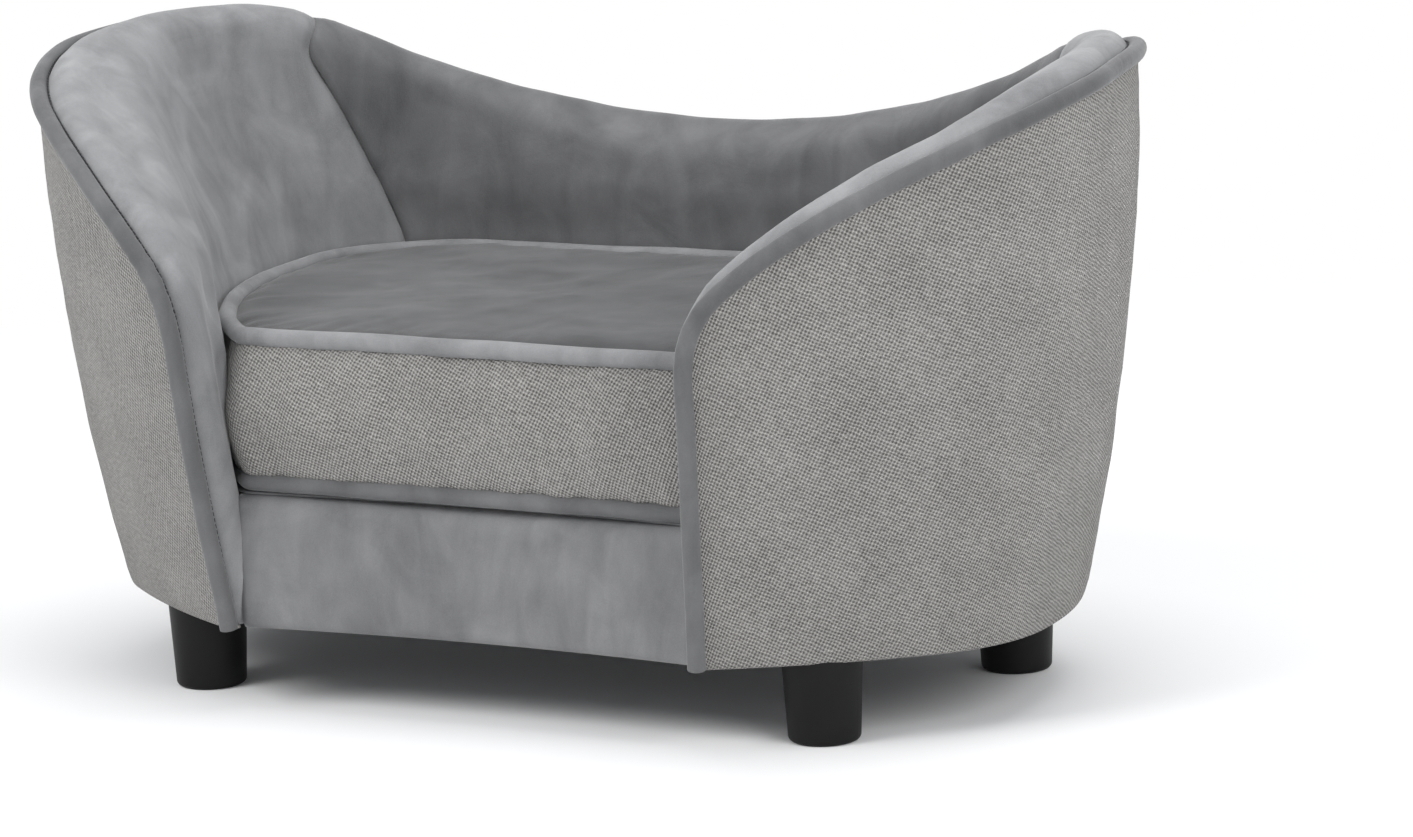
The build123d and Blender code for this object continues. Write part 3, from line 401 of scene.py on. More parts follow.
class Nodes:
    """A node tree with one node-making method."""

    def __init__(self, tree):
        self.tree = tree

    def fill(self, sockets, values):
        """Sets or links sockets by name or number; None leaves one as it is."""
        for key, value in values.items():
            if isinstance(value, Sock):
                self.tree.links.new(value.out, sockets[key])
            elif value is not None:
                sockets[key].default_value = value

    def node(self, kind, inputs=None, out=0, **settings):
        """Adds a node; gives one output by name or number, or a list of them for a tuple."""
        made = self.tree.nodes.new(kind)
        for key, value in settings.items():
            setattr(made, key, value)
        self.fill(made.inputs, inputs or {})
        if isinstance(out, tuple):
            return [Sock(self, made.outputs[key]) for key in out]
        return Sock(self, made.outputs[out])


class Mat(Nodes):
    """A material made of nodes."""

    def __init__(self, name):
        self.mat = bpy.data.materials.new(name)
        self.mat.use_nodes = True
        super().__init__(self.mat.node_tree)
        self.bsdf = self.tree.nodes["Principled BSDF"]

    def place(self):
        """Place on the object, in metres."""
        return self.node("ShaderNodeTexCoord", out="Object")

    def uv(self):
        """Place on the piece's own cloth, in metres."""
        return self.node("ShaderNodeTexCoord", out="UV")

    def split(self, vector):
        """The three parts of a vector."""
        return self.node("ShaderNodeSeparateXYZ", {0: vector}, out=("X", "Y", "Z"))

    def noise(self, vector, scale, detail, rough=0.5, distortion=0.0):
        """Soft random pattern from 0 to 1, with scale patches a metre."""
        values = {"Vector": vector, "Scale": scale, "Detail": detail}
        values.update({"Roughness": rough, "Distortion": distortion})
        return self.node("ShaderNodeTexNoise", values)

    def stretch(self, vector, scale):
        """Vector scaled along each axis."""
        return self.node("ShaderNodeMapping", {"Vector": vector, "Scale": scale})

    def mix(self, factor, a, b):
        """Colour between a and b."""
        return self.node("ShaderNodeMix", {0: factor, 6: a, 7: b}, out=2, data_type="RGBA")

    def bump(self, height, strength, distance, below=None):
        """Normal of a relief, laid over the relief below it."""
        values = {"Height": height, "Strength": strength, "Distance": distance, "Normal": below}
        return self.node("ShaderNodeBump", values)

    def finish(self, tint, rough, normal=None, **fixed):
        """Gives the surface its colour, roughness, relief and fixed values."""
        values = {"Base Color": tint, "Roughness": rough, "Normal": normal}
        values.update({key.replace("_", " "): value for key, value in fixed.items()})
        self.fill(self.bsdf.inputs, values)
        return self.mat


def woven_material(name, light, dark, thread, use_uv=True):
    """Chunky diagonal weave with slubs, on the piece's own UV in metres or on its place."""
    m = Mat(name)
    base = m.uv() if use_uv else m.place()
    wobble = m.noise(base, 120.0, 2.0)
    x, y, z = m.split(base)
    turn = 2 * math.pi / thread
    if not use_uv:
        x, y = x + y, z
    warp = ((x + y * 0.35) * turn + wobble * 3.4).sin()
    weft = ((y - x * 0.35) * turn + wobble * 3.4).sin()
    knot = warp * weft
    slub = m.noise(m.stretch(base, (190.0, 420.0, 300.0)), 1.0, 3.0, 0.6)
    blotch = m.noise(base, 24.0, 3.0, 0.55)
    fleck = m.noise(base, 1100.0, 2.0, 0.6)
    lean = knot * 0.5 + slub * 0.75 + fleck * 0.7 + blotch * 0.35 - 0.42
    tint = m.mix(lean.clip(0.0, 1.0), dark, light)
    height = knot * 0.8 + slub * 0.5 + fleck * 0.5
    normal = m.bump(height, 1.0, 0.0008)
    return m.finish(tint, 0.92, normal, Sheen_Weight=0.15, Sheen_Roughness=0.6, Specular_IOR_Level=0.15)


def velvet_material(name, light, dark):
    """Short pile with brushed nap patches and soft pressure marks."""
    m = Mat(name)
    base = m.place()
    wide = m.noise(base, 7.0, 2.0, 0.5, 0.4)
    streak = m.noise(m.stretch(base, (38.0, 38.0, 11.0)), 1.0, 4.0, 0.55, 0.9)
    patch = m.noise(base, 23.0, 4.0, 0.55, 0.9)
    fine = m.noise(base, 1500.0, 2.0, 0.7)
    fibre = m.noise(m.stretch(base, (1800.0, 1800.0, 420.0)), 1.0, 2.0, 0.6)
    lean = wide * 0.6 + streak * 0.65 + patch * 0.6 + fine * 0.35 - 0.6
    tint = m.mix(lean.clip(0.0, 1.0), dark, light)
    rough = (fine * 0.2 + 0.72).clip(0.6, 0.95)
    soft = m.bump(patch, 0.2, 0.004)
    normal = m.bump(fibre + fine, 0.3, 0.0004, soft)
    return m.finish(tint, rough, normal, Sheen_Weight=0.35, Sheen_Roughness=0.35, Specular_IOR_Level=0.2)


def plain_material(name, light, dark, rough, scale, depth, stretch, **fixed):
    """Fine-grained finish for plastic, wood, foam, cloth and metal."""
    m = Mat(name)
    base = m.stretch(m.place(), stretch)
    coarse = m.noise(base, scale, 4.0, 0.55, 0.3)
    fine = m.noise(base, scale * 14.0, 3.0, 0.6)
    tint = m.mix((coarse * 1.3 + fine * 0.3 - 0.3).clip(0.0, 1.0), dark, light)
    r = (coarse * 0.12 + fine * 0.08 + (rough - 0.1)).clip(0.05, 1.0)
    return m.finish(tint, r, m.bump(coarse * 0.4 + fine, 0.4, depth), **fixed)


MATERIALS = {}
# Painted light and shade: one velvet, made lighter or darker on each piece as the lamps light it, as a share
# of its colours
VELVET_PAINTED_LIGHT = {
    "velvet_roll": 1.2,
    "velvet_arm": 1.2,
    "velvet_apron": 0.88,
    "velvet_seat": 0.38,
    "velvet_back": 0.66,
    "velvet_cord": 0.62,
    "velvet_seat_cord": 1.15,
}
WEAVE_THREAD, TAPE_THREAD = 0.003, 0.0008  # metres from thread to thread
EVEN_GRAIN, WOOD_GRAIN = (1.0, 1.0, 1.0), (1.0, 9.0, 3.0)


def colour(red, green, blue):
    """Full colour from its three shares."""
    return (red, green, blue, 1.0)


def grey(level):
    """Neutral grey."""
    return colour(level, level, level)


def make_materials(colours):
    """Fills MATERIALS from the colours that a user can set."""
    cloth = tuple(colours.cloth_light), tuple(colours.cloth_dark)
    MATERIALS["woven"] = woven_material("woven_cloth", *cloth, WEAVE_THREAD)
    velvet = colours.velvet_light, colours.velvet_dark
    # Each piece gets its own copy of the velvet, lightened or darkened by painted light and shade
    for name, painted_share in VELVET_PAINTED_LIGHT.items():
        light, dark = [colour(*(c * painted_share for c in pile[:3])) for pile in velvet]
        MATERIALS[name] = velvet_material(name, light, dark)
    tape = colour(0.40, 0.39, 0.38), colour(0.18, 0.18, 0.17)
    MATERIALS["tape"] = woven_material("zip_tape", *tape, TAPE_THREAD, use_uv=False)
    for key, name, light, dark, rough, scale, depth, grain, fixed in (
        ("leg", "black_plastic", tuple(colours.leg_black), grey(0.003),
         0.5, 60.0, 0.0001, EVEN_GRAIN, {"Specular_IOR_Level": 0.2}),
        ("wood", "plywood", colour(0.62, 0.47, 0.30), colour(0.42, 0.29, 0.17),
         0.6, 22.0, 0.0004, WOOD_GRAIN, {}),
        ("foam", "foam", colour(0.86, 0.82, 0.68), colour(0.70, 0.64, 0.48),
         0.95, 90.0, 0.0012, EVEN_GRAIN, {}),
        ("dust", "dust_cloth", colour(0.03, 0.03, 0.032), colour(0.012, 0.012, 0.013),
         0.9, 300.0, 0.0003, EVEN_GRAIN, {}),
        ("steel", "zinc_steel", colour(0.66, 0.67, 0.69), colour(0.42, 0.43, 0.45),
         0.34, 80.0, 0.0001, EVEN_GRAIN, {"Metallic": 1.0}),
        ("tooth", "zip_teeth", colour(0.34, 0.335, 0.33), colour(0.22, 0.22, 0.215),
         0.4, 200.0, 0.0001, EVEN_GRAIN, {}),
        ("pull", "zip_metal", grey(0.20), grey(0.11),
         0.38, 200.0, 0.0001, EVEN_GRAIN, {"Metallic": 0.6}),
        ("thread", "thread", colour(0.50, 0.49, 0.47), colour(0.36, 0.35, 0.34),
         0.8, 900.0, 0.0001, EVEN_GRAIN, {}),
        ("dark_thread", "dark_thread", colour(0.05, 0.05, 0.055), colour(0.02, 0.02, 0.022),
         0.8, 900.0, 0.0001, EVEN_GRAIN, {}),
    ):
        MATERIALS[key] = plain_material(name, light, dark, rough, scale, depth, grain, **fixed)


# Mesh making
CLOSING_STEP = 0.004  # metres from the last point of a closed row to its first


def linked(name, data):
    """New object of the scene from its data."""
    obj = bpy.data.objects.new(name, data)
    bpy.context.scene.collection.objects.link(obj)
    return obj


def piece(name, verts, faces, material, uvs, wrap=False):
    """Object from points in millimetres; uvs is one pair a vertex, in metres."""
    mesh = bpy.data.meshes.new(name)
    mesh.from_pydata([Vector(v) * MM for v in verts], [], faces)
    mesh.materials.append(MATERIALS[material])
    layer = mesh.uv_layers.new(name="UVMap")
    longest = max(uv[0] for uv in uvs)
    for face in mesh.polygons:
        corners = [mesh.loops[i] for i in face.loop_indices]
        closing = wrap and any(uvs[corner.vertex_index][0] > longest / 2 for corner in corners)
        for corner in corners:
            u, v = uvs[corner.vertex_index]
            layer.data[corner.index].uv = (longest + CLOSING_STEP if closing and u == 0.0 else u, v)
    mesh.update()
    mesh.polygons.foreach_set("use_smooth", [True] * len(mesh.polygons))
    return linked(name, mesh)


def normals_of(grid, wrap=False):
    """Normal at each point of a grid of rows."""
    rows, cols = len(grid), len(grid[0])
    result = []
    for i in range(rows):
        line = []
        for j in range(cols):
            up = grid[min(i + 1, rows - 1)][j] - grid[max(i - 1, 0)][j]
            if wrap:
                side = grid[i][(j + 1) % cols] - grid[i][(j - 1) % cols]
            else:
                side = grid[i][min(j + 1, cols - 1)] - grid[i][max(j - 1, 0)]
            n = side.cross(up)
            line.append(n.normalized() if n.length > 1e-9 else Vector((0, 0, 1)))
        result.append(line)
    return result


def grid_uv(grid):
    """Length along each row and column, in metres, at each point of the grid."""
    rows, cols = len(grid), len(grid[0])
    mid = grid[rows // 2]
    u = [0.0]
    for a, b in zip(mid, mid[1:]):
        u.append(u[-1] + (b - a).length)
    uv = []
    v = [0.0] * cols
    for i in range(rows):
        for j in range(cols):
            if i:
                v[j] += (grid[i][j] - grid[i - 1][j]).length
            uv.append((u[j] * MM, v[j] * MM))
    return uv


def shell(name, grid, thickness, material, wrap=False, hole=None, cap=False):
    """Closed sheet: the grid is its outer face, and its back lies thickness behind it."""
    rows, cols = len(grid), len(grid[0])
    normal = normals_of(grid, wrap)
    front = [p for row in grid for p in row]
    back = [grid[i][j] - normal[i][j] * thickness for i in range(rows) for j in range(cols)]
    uv = grid_uv(grid)
    faces = []
    for i in range(rows - 1):
        for j in range(cols if wrap else cols - 1):
            if not (hole and hole(i, j)):
                k = (j + 1) % cols
                faces.append((i * cols + j, i * cols + k, (i + 1) * cols + k, (i + 1) * cols + j))
    if cap:
        middle = len(front)
        inner = list(range((rows - 1) * cols, rows * cols))
        front.append(sum((front[n] for n in inner), Vector()) / cols)
        back.append(sum((back[n] for n in inner), Vector()) / cols)
        uv.append(uv[inner[0]])
        faces += [(a, b, middle) for a, b in zip(inner, inner[1:] + inner[:1])]
    used = sorted({n for face in faces for n in face})
    place = {n: k for k, n in enumerate(used)}
    faces = [tuple(place[n] for n in face) for face in faces]
    edges = {(face[i], face[(i + 1) % len(face)]) for face in faces for i in range(len(face))}
    n = len(used)
    closed = faces + [tuple(v + n for v in reversed(face)) for face in faces]
    closed += [(b, a, a + n, b + n) for a, b in edges if (b, a) not in edges]
    verts = [front[k] for k in used] + [back[k] for k in used]
    return piece(name, verts, closed, material, [uv[k] for k in used] * 2, wrap)


def tube_grid(name, rings, material):
    """Closed body from rings of points, capped at both ends."""
    count, size = len(rings), len(rings[0])
    verts = [p for ring in rings for p in ring]
    faces = []
    for i in range(count - 1):
        for j in range(size):
            k = (j + 1) % size
            faces.append((i * size + j, i * size + k, (i + 1) * size + k, (i + 1) * size + j))
    first, last = len(verts), len(verts) + 1
    verts.append(sum(rings[0], Vector()) / size)
    verts.append(sum(rings[-1], Vector()) / size)
    for j in range(size):
        k = (j + 1) % size
        faces.append((first, k, j))
        faces.append((last, (count - 1) * size + j, (count - 1) * size + k))
    uv = []
    run = 0.0
    for i, ring in enumerate(rings):
        if i:
            run += (sum(ring, Vector()) / size - sum(rings[i - 1], Vector()) / size).length
        around = 0.0
        for j in range(size):
            uv.append((around * MM, run * MM))
            around += (ring[(j + 1) % size] - ring[j]).length
    uv += [uv[0], uv[-1]]
    return piece(name, verts, faces, material, uv)


# Shapes that node trees make
class ShapeTree(Nodes):
    """A node tree that makes a shape from a line, with named inputs."""

    def __init__(self, name, inputs):
        super().__init__(bpy.data.node_groups.new(name, "GeometryNodeTree"))
        sockets = self.tree.interface
        sockets.new_socket(name="Geometry", in_out="INPUT", socket_type="NodeSocketGeometry")
        for label, kind, value in inputs:
            socket = sockets.new_socket(name=label, in_out="INPUT", socket_type="NodeSocket" + kind)
            if value is not None:
                socket.default_value = value
        sockets.new_socket(name="Geometry", in_out="OUTPUT", socket_type="NodeSocketGeometry")
        names = ("Geometry", *(label for label, _, _ in inputs))
        self.given = dict(zip(names, self.node("NodeGroupInput", out=names)))

    def finish(self, shape):
        """Ends the tree: real geometry with the given material."""
        real = self.node("GeometryNodeRealizeInstances", {"Geometry": shape})
        values = {"Geometry": real, "Material": self.given["Material"]}
        done = self.node("GeometryNodeSetMaterial", values)
        self.node("NodeGroupOutput", {"Geometry": done}, out=())
        return self.tree


def tube_tree():
    """Round cord along a line, closed where the line is."""
    inputs = [("Radius", "Float", 0.005), ("Sides", "Int", 20), ("Material", "Material", None)]
    tree = ShapeTree("Round cord", inputs)
    curve = tree.node("GeometryNodeMeshToCurve", {0: tree.given["Geometry"]})
    ring = {"Radius": tree.given["Radius"], "Resolution": tree.given["Sides"]}
    values = {"Curve": curve, "Profile Curve": tree.node("GeometryNodeCurvePrimitiveCircle", ring)}
    sweep = tree.node("GeometryNodeCurveToMesh", {**values, "Fill Caps": True})
    return tree.finish(tree.node("GeometryNodeSetShadeSmooth", {"Geometry": sweep}))


def stitch_tree():
    """Row of short thread stitches along a line."""
    inputs = [("Pitch", "Float", 0.003), ("Length", "Float", 0.0021), ("Thread", "Float", 0.0004)]
    tree = ShapeTree("Stitch row", inputs + [("Material", "Material", None)])
    curve = tree.node("GeometryNodeMeshToCurve", {0: tree.given["Geometry"]})
    spaced = {"Curve": curve, "Length": tree.given["Pitch"]}
    outs = ("Points", "Rotation")
    points, turn = tree.node("GeometryNodeCurveToPoints", spaced, outs, mode="LENGTH")
    start = tree.node("ShaderNodeCombineXYZ", {"Z": tree.given["Length"] * -1.0})
    line = tree.node("GeometryNodeCurvePrimitiveLine", {"Start": start, "End": (0.0, 0.0, 0.0)})
    ring = {"Radius": tree.given["Thread"], "Resolution": 6}
    values = {"Curve": line, "Profile Curve": tree.node("GeometryNodeCurvePrimitiveCircle", ring)}
    stitch = tree.node("GeometryNodeCurveToMesh", {**values, "Fill Caps": True})
    row = {"Points": points, "Rotation": turn, "Instance": stitch}
    return tree.finish(tree.node("GeometryNodeInstanceOnPoints", row))


def evaluated_mesh(obj):
    """Mesh that an object's modifiers make; the object itself goes."""
    bpy.context.view_layer.update()
    made = bpy.data.meshes.new_from_object(obj.evaluated_get(bpy.context.evaluated_depsgraph_get()))
    obj.modifiers.clear()
    bpy.data.objects.remove(obj)
    return made


def made_along(name, lines, tree, values, closed=False):
    """Piece that a node tree makes on lines of points in millimetres."""
    verts, edges = [], []
    for points in lines:
        start = len(verts)
        verts += [Vector(p) * MM for p in points]
        edges += [(start + i, start + i + 1) for i in range(len(points) - 1)]
        if closed:
            edges.append((len(verts) - 1, start))
    mesh = bpy.data.meshes.new(name + "_line")
    mesh.from_pydata(verts, edges, [])
    source = linked(name + "_line", mesh)
    modifier = source.modifiers.new("Nodes", "NODES")
    modifier.node_group = tree
    for item in tree.interface.items_tree:
        if item.in_out == "INPUT" and item.name in values:
            modifier[item.identifier] = values[item.name]
    source.update_tag()
    made = evaluated_mesh(source)
    made.name = name
    return linked(name, made)


# Soft shapes
def bumps(p, span, seed):
    """Smooth random value from -1 to 1 that changes over span millimetres."""
    q = Vector((p[0] / span + seed, p[1] / span - seed * 0.7, p[2] / span + seed * 1.3))
    return noise.noise(q)


def cloth_noise(p, seed):
    """Wide, middle and small softness of a stretched cloth."""
    return bumps(p, 70.0, seed) * 0.55 + bumps(p, 28.0, seed + 3.1) * 0.3 + bumps(p, 12.0, seed + 7.7) * 0.15


def puckers(s, depth, reach, wave, seed):
    """Small pulls of a seam: they run square to it and fade over reach."""
    lean = bumps((s, 0, 0), wave, seed) + 0.5 * bumps((s, 0, 0), wave * 0.45, seed + 5.0)
    return lean * math.exp(-max(depth, 0.0) / reach)


def even_values(start, stop, length, pitch):
    """Even steps from start to stop, each about pitch of the length that they cover."""
    count = max(int(round(abs(length) / pitch)), 2)
    return [start + (stop - start) * i / count for i in range(count + 1)]


# Outer cover: rows above its lowest one, inset and height of the rows of the fold under it, and the
# distance between its columns up to each length from the arm's front edge
COVER_ROWS = 46
COVER_LOW = 49.6
COVER_FOLDS = ((8.0, 47.6), (5.0, 47.0), (2.4, 47.0), (0.8, 47.9), (0.1, COVER_LOW))
COVER_PITCHES = ((26.0, 1.6), (60.0, 3.0), (math.inf, 5.0))
LOW_WALL, MID_WALL = 150.0, 200.0  # heights at which columns are spaced and lengths measured


def run_lengths(points):
    """Length up to each point of a line in plan."""
    total = [0.0]
    for a, b in zip(points, points[1:]):
        total.append(total[-1] + math.dist(a, b))
    return total


def cover_angles():
    """Wall angles of the outer cover, closer together at the arms' front edges."""
    half, ahead = [FACE_TURN], 0.1
    while half[-1] < MIDDLE_ANGLE - 1.0:
        angle = half[-1]
        length = math.dist(wall_point(angle, LOW_WALL), wall_point(angle + ahead, LOW_WALL))
        along = rad(angle - FACE_TURN) * FACE_R
        pitch = next(pitch for reach, pitch in COVER_PITCHES if along < reach)
        half.append(angle + ahead * pitch / length)
    half = [a for a in half if a < MIDDLE_ANGLE - 0.6]
    return half + [MIDDLE_ANGLE] + [180.0 - a for a in reversed(half)]


def outer_cover_grid():
    """Rows from the fold under the frame up into the rim piping."""
    angles = cover_angles()
    grid = [[] for _ in range(len(COVER_FOLDS) + COVER_ROWS)]
    lengths = run_lengths([wall_point(angle, MID_WALL) for angle in angles])
    for j, angle in enumerate(angles):
        top = rim_top(angle)
        edge = min(lengths[j], lengths[-1] - lengths[j])
        for i, (inset, z) in enumerate(COVER_FOLDS):
            x, y = wall_point(angle, LEG, inset)
            grid[i].append(Vector((x, y, z)))
        for i in range(COVER_ROWS):
            share = (i + 1) / COVER_ROWS
            z = COVER_LOW + (top - COVER_LOW) * share
            x, y = wall_point(angle, z)
            x2, y2 = wall_point(angle, z, 1.0)
            out = Vector((x - x2, y - y2, 0.0))
            p = Vector((x, y, z))
            below = (top - z) * 0.86
            inside = step(0.0, 16.0, min(edge, below)) * step(0.0, 10.0, z - COVER_LOW)
            swell = 2.2 * math.sin(math.pi * share) * step(0.0, 60.0, edge)
            soft = cloth_noise(p, 2.0) * 2.2
            pull = puckers(lengths[j], below, 16.0, 13.0, 4.0) * 1.3
            pull += puckers(z, edge, 16.0, 13.0, 9.0) * 1.3
            pull += puckers(lengths[j], z - COVER_LOW, 20.0, 24.0, 14.0)
            grid[len(COVER_FOLDS) + i].append(p + out * (inside * (swell + soft + pull)))
    return grid


def seam_share():
    """Inner-wall place of the seam between the arm and the back."""
    low, high = 1.0, 2.0
    for _ in range(30):
        mid = (low + high) / 2
        x, y = inner_point(mid, SEAM_Z)
        if math.degrees(math.atan2(y, x)) > SEAM_ANGLE:
            low = mid
        else:
            high = mid
    return low


C_SEAM = seam_share()


def inner_lengths(count=400):
    """Inner-wall places and the length up to each."""
    places = [NOSE_PLACE * i / count for i in range(count + 1)]
    return places, run_lengths([inner_point(c, SEAM_Z) for c in places])


INNER_C, INNER_S = inner_lengths()


def inner_c(s):
    """Inner-wall place at a length from the middle of the back."""
    i = max(n for n in range(len(INNER_S) - 1) if INNER_S[n] <= s + 1e-9)
    f = (s - INNER_S[i]) / (INNER_S[i + 1] - INNER_S[i])
    return INNER_C[i] + (INNER_C[i + 1] - INNER_C[i]) * min(f, 1.0)


def inner_s(c):
    """Length from the middle of the back at an inner-wall place."""
    i = min(int(c / NOSE_PLACE * (len(INNER_S) - 1)), len(INNER_S) - 2)
    f = (c - INNER_C[i]) / (INNER_C[i + 1] - INNER_C[i])
    return INNER_S[i] + (INNER_S[i + 1] - INNER_S[i]) * f


def rim_index_of(c):
    """Rim index above an inner-wall place of the right half."""
    s = inner_s(c)
    seam = inner_s(C_SEAM)
    if c <= C_SEAM:
        f = s / seam
        rim = rim_s(LAST / 2) + (rim_s(SEAM) - rim_s(LAST / 2)) * f
    else:
        f = (s - seam) / (INNER_S[-1] - seam)
        rim = rim_s(SEAM) + (rim_s(BEND_START) - rim_s(SEAM)) * f
    return rim_t(rim)


# Rim indexes at which the roll and the piping gather on the bend
ROLL_BEND, CORD_BEND = 7.6, 8.0


def near_bend(s, t, reach):
    """Nearness, 0 to 1, of a length along the rim to the bends at rim index t of both arms."""
    return max(math.exp(-(((s - rim_s(bend)) / reach) ** 2)) for bend in (t, LAST - t))


def roll_puff(s, wide, high, seed):
    """Swell and gathers of the roll at a length along the rim and a side of its section."""
    at_bend = near_bend(s, ROLL_BEND, 34.0)
    to_cord = max(wide, 0.0) ** 1.3
    q = (s, wide * 14.0, high * 14.0)
    puff = bumps(q, 60.0, seed) * 0.9 + bumps(q, 24.0, seed + 4.0) * 0.5
    pleat = bumps((s, wide * 4.0, high * 4.0), 5.2, seed + 8.0) * (0.5 + 2.0 * at_bend) * to_cord
    pleat += math.sin(s * 2 * math.pi / 9.5 + 1.3 * bumps(q, 30.0, seed)) * at_bend * to_cord
    return puff + pleat


def roll_point(place, wide, high, more, size=1.0):
    """Point of the roll's oval section at a rim frame, swollen by more."""
    centre, out, up = place
    across, above = ROLL_W * size + more, ROLL_H * size + more
    return centre + out * (ROLL_OUT + wide * across) + up * (-ROLL_SINK + high * above)


# Turns of the roll's section at which the lining meets it and at which it ends at the piping
SHOULDER_TURN, CORD_TURN = 122.0, 6.0


def over_roll(t, seed, dip=0.0, count=15):
    """Points of the lining over the roll, from its inner shoulder to the piping."""
    place, s = rim_frame(t), rim_s(t)
    points = []
    for k in range(count):
        turn = rad(SHOULDER_TURN + (CORD_TURN - SHOULDER_TURN) * k / (count - 1))
        wide, high = math.cos(turn), math.sin(turn)
        more = 0.9 - dip * (1 - max(wide, 0.0)) + roll_puff(s, wide, high, seed)
        points.append(roll_point(place, wide, high, more))
    return points


def eased(p0, d0, p3, d3, count):
    """Points between two places, leaving along d0 and arriving along d3."""
    reach = (p3 - p0).length * 0.42
    p1, p2 = p0 + d0.normalized() * reach, p3 - d3.normalized() * reach
    points = []
    for k in range(1, count + 1):
        f = k / (count + 1)
        g = 1 - f
        points.append(p0 * g**3 + p1 * (3 * g * g * f) + p2 * (3 * g * f * f) + p3 * f**3)
    return points


# Lining: rows on the wall and from there to the roll, height of its foot, how far under the middle of
# the roll it leaves the wall, and the distance between its columns on the wall and on the arm's front
WALL_ROWS, BRIDGE_ROWS = 36, 7
LINING_FOOT, UNDER_ROLL = 110.0, 14.0
WALL_PITCH, FRONT_PITCH = 5.0, 3.0
# Heights between which the lining comes free of the cushion, swells, and dips into the seam
FREE_RISE, SWELL_RISE, DIP_RISE = (214.0, 240.0), (220.0, 256.0), (150.0, 230.0)
SWELL, DIP, TUCK = 6.0, 2.6, 4.0
# Length below the nose in which the front turns from behind the nose to the wall's top, and the distance
# of its hidden rows
FRONT_BLEND, HIDDEN_STEP = 60.0, 2.0


def wall_top(t):
    """Height at which the lining leaves the wall for the roll."""
    centre, out, up = rim_frame(t)
    return (centre + out * ROLL_OUT - up * ROLL_SINK).z - UNDER_ROLL


def lining_column(c, seed):
    """Points of the lining from under the seat, up the padding and over the roll."""
    side = 1.0 if c >= 0 else -1.0
    c = abs(c)
    t = rim_index_of(c)
    top = wall_top(t)
    s = inner_s(c)
    from_seam = abs(s - inner_s(C_SEAM))
    from_nose = INNER_S[-1] - s
    dip = DIP * math.exp(-((from_seam / 4.5) ** 2))
    column = []
    for i in range(WALL_ROWS + 1):
        z = LINING_FOOT + (top - LINING_FOOT) * (1 - (1 - i / WALL_ROWS) ** 1.25)
        x, y = inner_point(c, z)
        ax, ay = inner_point(max(c - 0.01, 0.0), z)
        bx, by = inner_point(min(c + 0.01, NOSE_PLACE), z)
        inward = Vector((by - ay, -(bx - ax), 0.0))
        inward = -inward.normalized() if inward.dot(Vector((x, y, 0))) > 0 else inward.normalized()
        p = Vector((x, y, z))
        free = step(*FREE_RISE, z)
        swell = SWELL * step(*SWELL_RISE, z) * step(0.0, 45.0, from_nose)
        q = (p.x * side, p.y, p.z)
        soft = cloth_noise(q, seed) * 3.0 * free
        pull = puckers(s * side, top + UNDER_ROLL - z, 26.0, 16.0, seed + 2.0) * 1.2 * free
        column.append(p + inward * (swell + soft + pull - dip * step(*DIP_RISE, z)))
    over = over_roll(t, seed, dip)
    tuck = TUCK * step(90.0, 45.0, from_nose) * step(0.0, 14.0, from_nose)
    bridge = eased(column[-1], column[-1] - column[-3], over[0], over[1] - over[0], BRIDGE_ROWS)
    column += [p - inward * tuck * math.exp(-(((k - 2.5) / 2.0) ** 2)) for k, p in enumerate(bridge)]
    column += over
    return [Vector((p.x * side, p.y, p.z)) for p in column]


def inner_vector(c, z):
    """The same point of the inner wall with its height."""
    return Vector((*inner_point(c, z), z))


def front_column(s, seed, side):
    """Points of the lining round the upright front of an arm, from behind the nose to the piping."""
    t = rim_t(s)
    over = over_roll(t, seed)
    top = rim_s(rim_index_of(NOSE_PLACE))
    near = step(top - FRONT_BLEND, top, s)
    z = over[0].z + (wall_top(t) - over[0].z) * near
    nose = inner_vector(NOSE_PLACE, z)
    behind = inner_vector(NOSE_PLACE - 0.1, z)
    below = inner_vector(NOSE_PLACE, z - 5.0)
    leave = ((nose - behind).normalized() * (1 - near) + (nose - below).normalized() * near).normalized()
    column = [nose - leave * HIDDEN_STEP * (WALL_ROWS - i) for i in range(WALL_ROWS)] + [nose]
    column += eased(nose, leave, over[0], over[1] - over[0], BRIDGE_ROWS) + over
    return [Vector((p.x * side, p.y, p.z)) for p in column]


def lining_grid(first, last, seed):
    """Grid between two inner-wall places, negative ones on the left, and its test for quads left out."""
    s0 = math.copysign(inner_s(abs(first)), first)
    s1 = math.copysign(inner_s(abs(last)), last)
    places = [math.copysign(inner_c(abs(s)), s) for s in even_values(s0, s1, s1 - s0, WALL_PITCH)]
    columns = [lining_column(c, seed) for c in places]
    top = rim_s(rim_index_of(NOSE_PLACE))
    fronts = even_values(0.0, top, top, FRONT_PITCH)[:-1]
    right_from = left_to = None
    if last == NOSE_PLACE:
        right_from = len(columns) - 1
        columns = columns + [front_column(s, seed, 1.0) for s in reversed(fronts)]
    if first == -NOSE_PLACE:
        left_to = len(fronts)
        columns = [front_column(s, seed, -1.0) for s in fronts] + columns

    def hole(i, j):
        """True beside the wall, where the front has no cloth below its bridge to the roll."""
        beside = (right_from is not None and j >= right_from) or (left_to is not None and j < left_to)
        return beside and i < WALL_ROWS

    return [list(row) for row in zip(*columns)], hole


# Parts of the rim with the rim indexes between which each runs
RIM_PARTS = (("right_arm", 0, SEAM), ("back", SEAM, LAST - SEAM), ("left_arm", LAST - SEAM, LAST))
ROLL_SIDES, ROLL_PITCH, ROLL_FOOT, ROLL_END = 30, 2.6, 40.0, 6.0


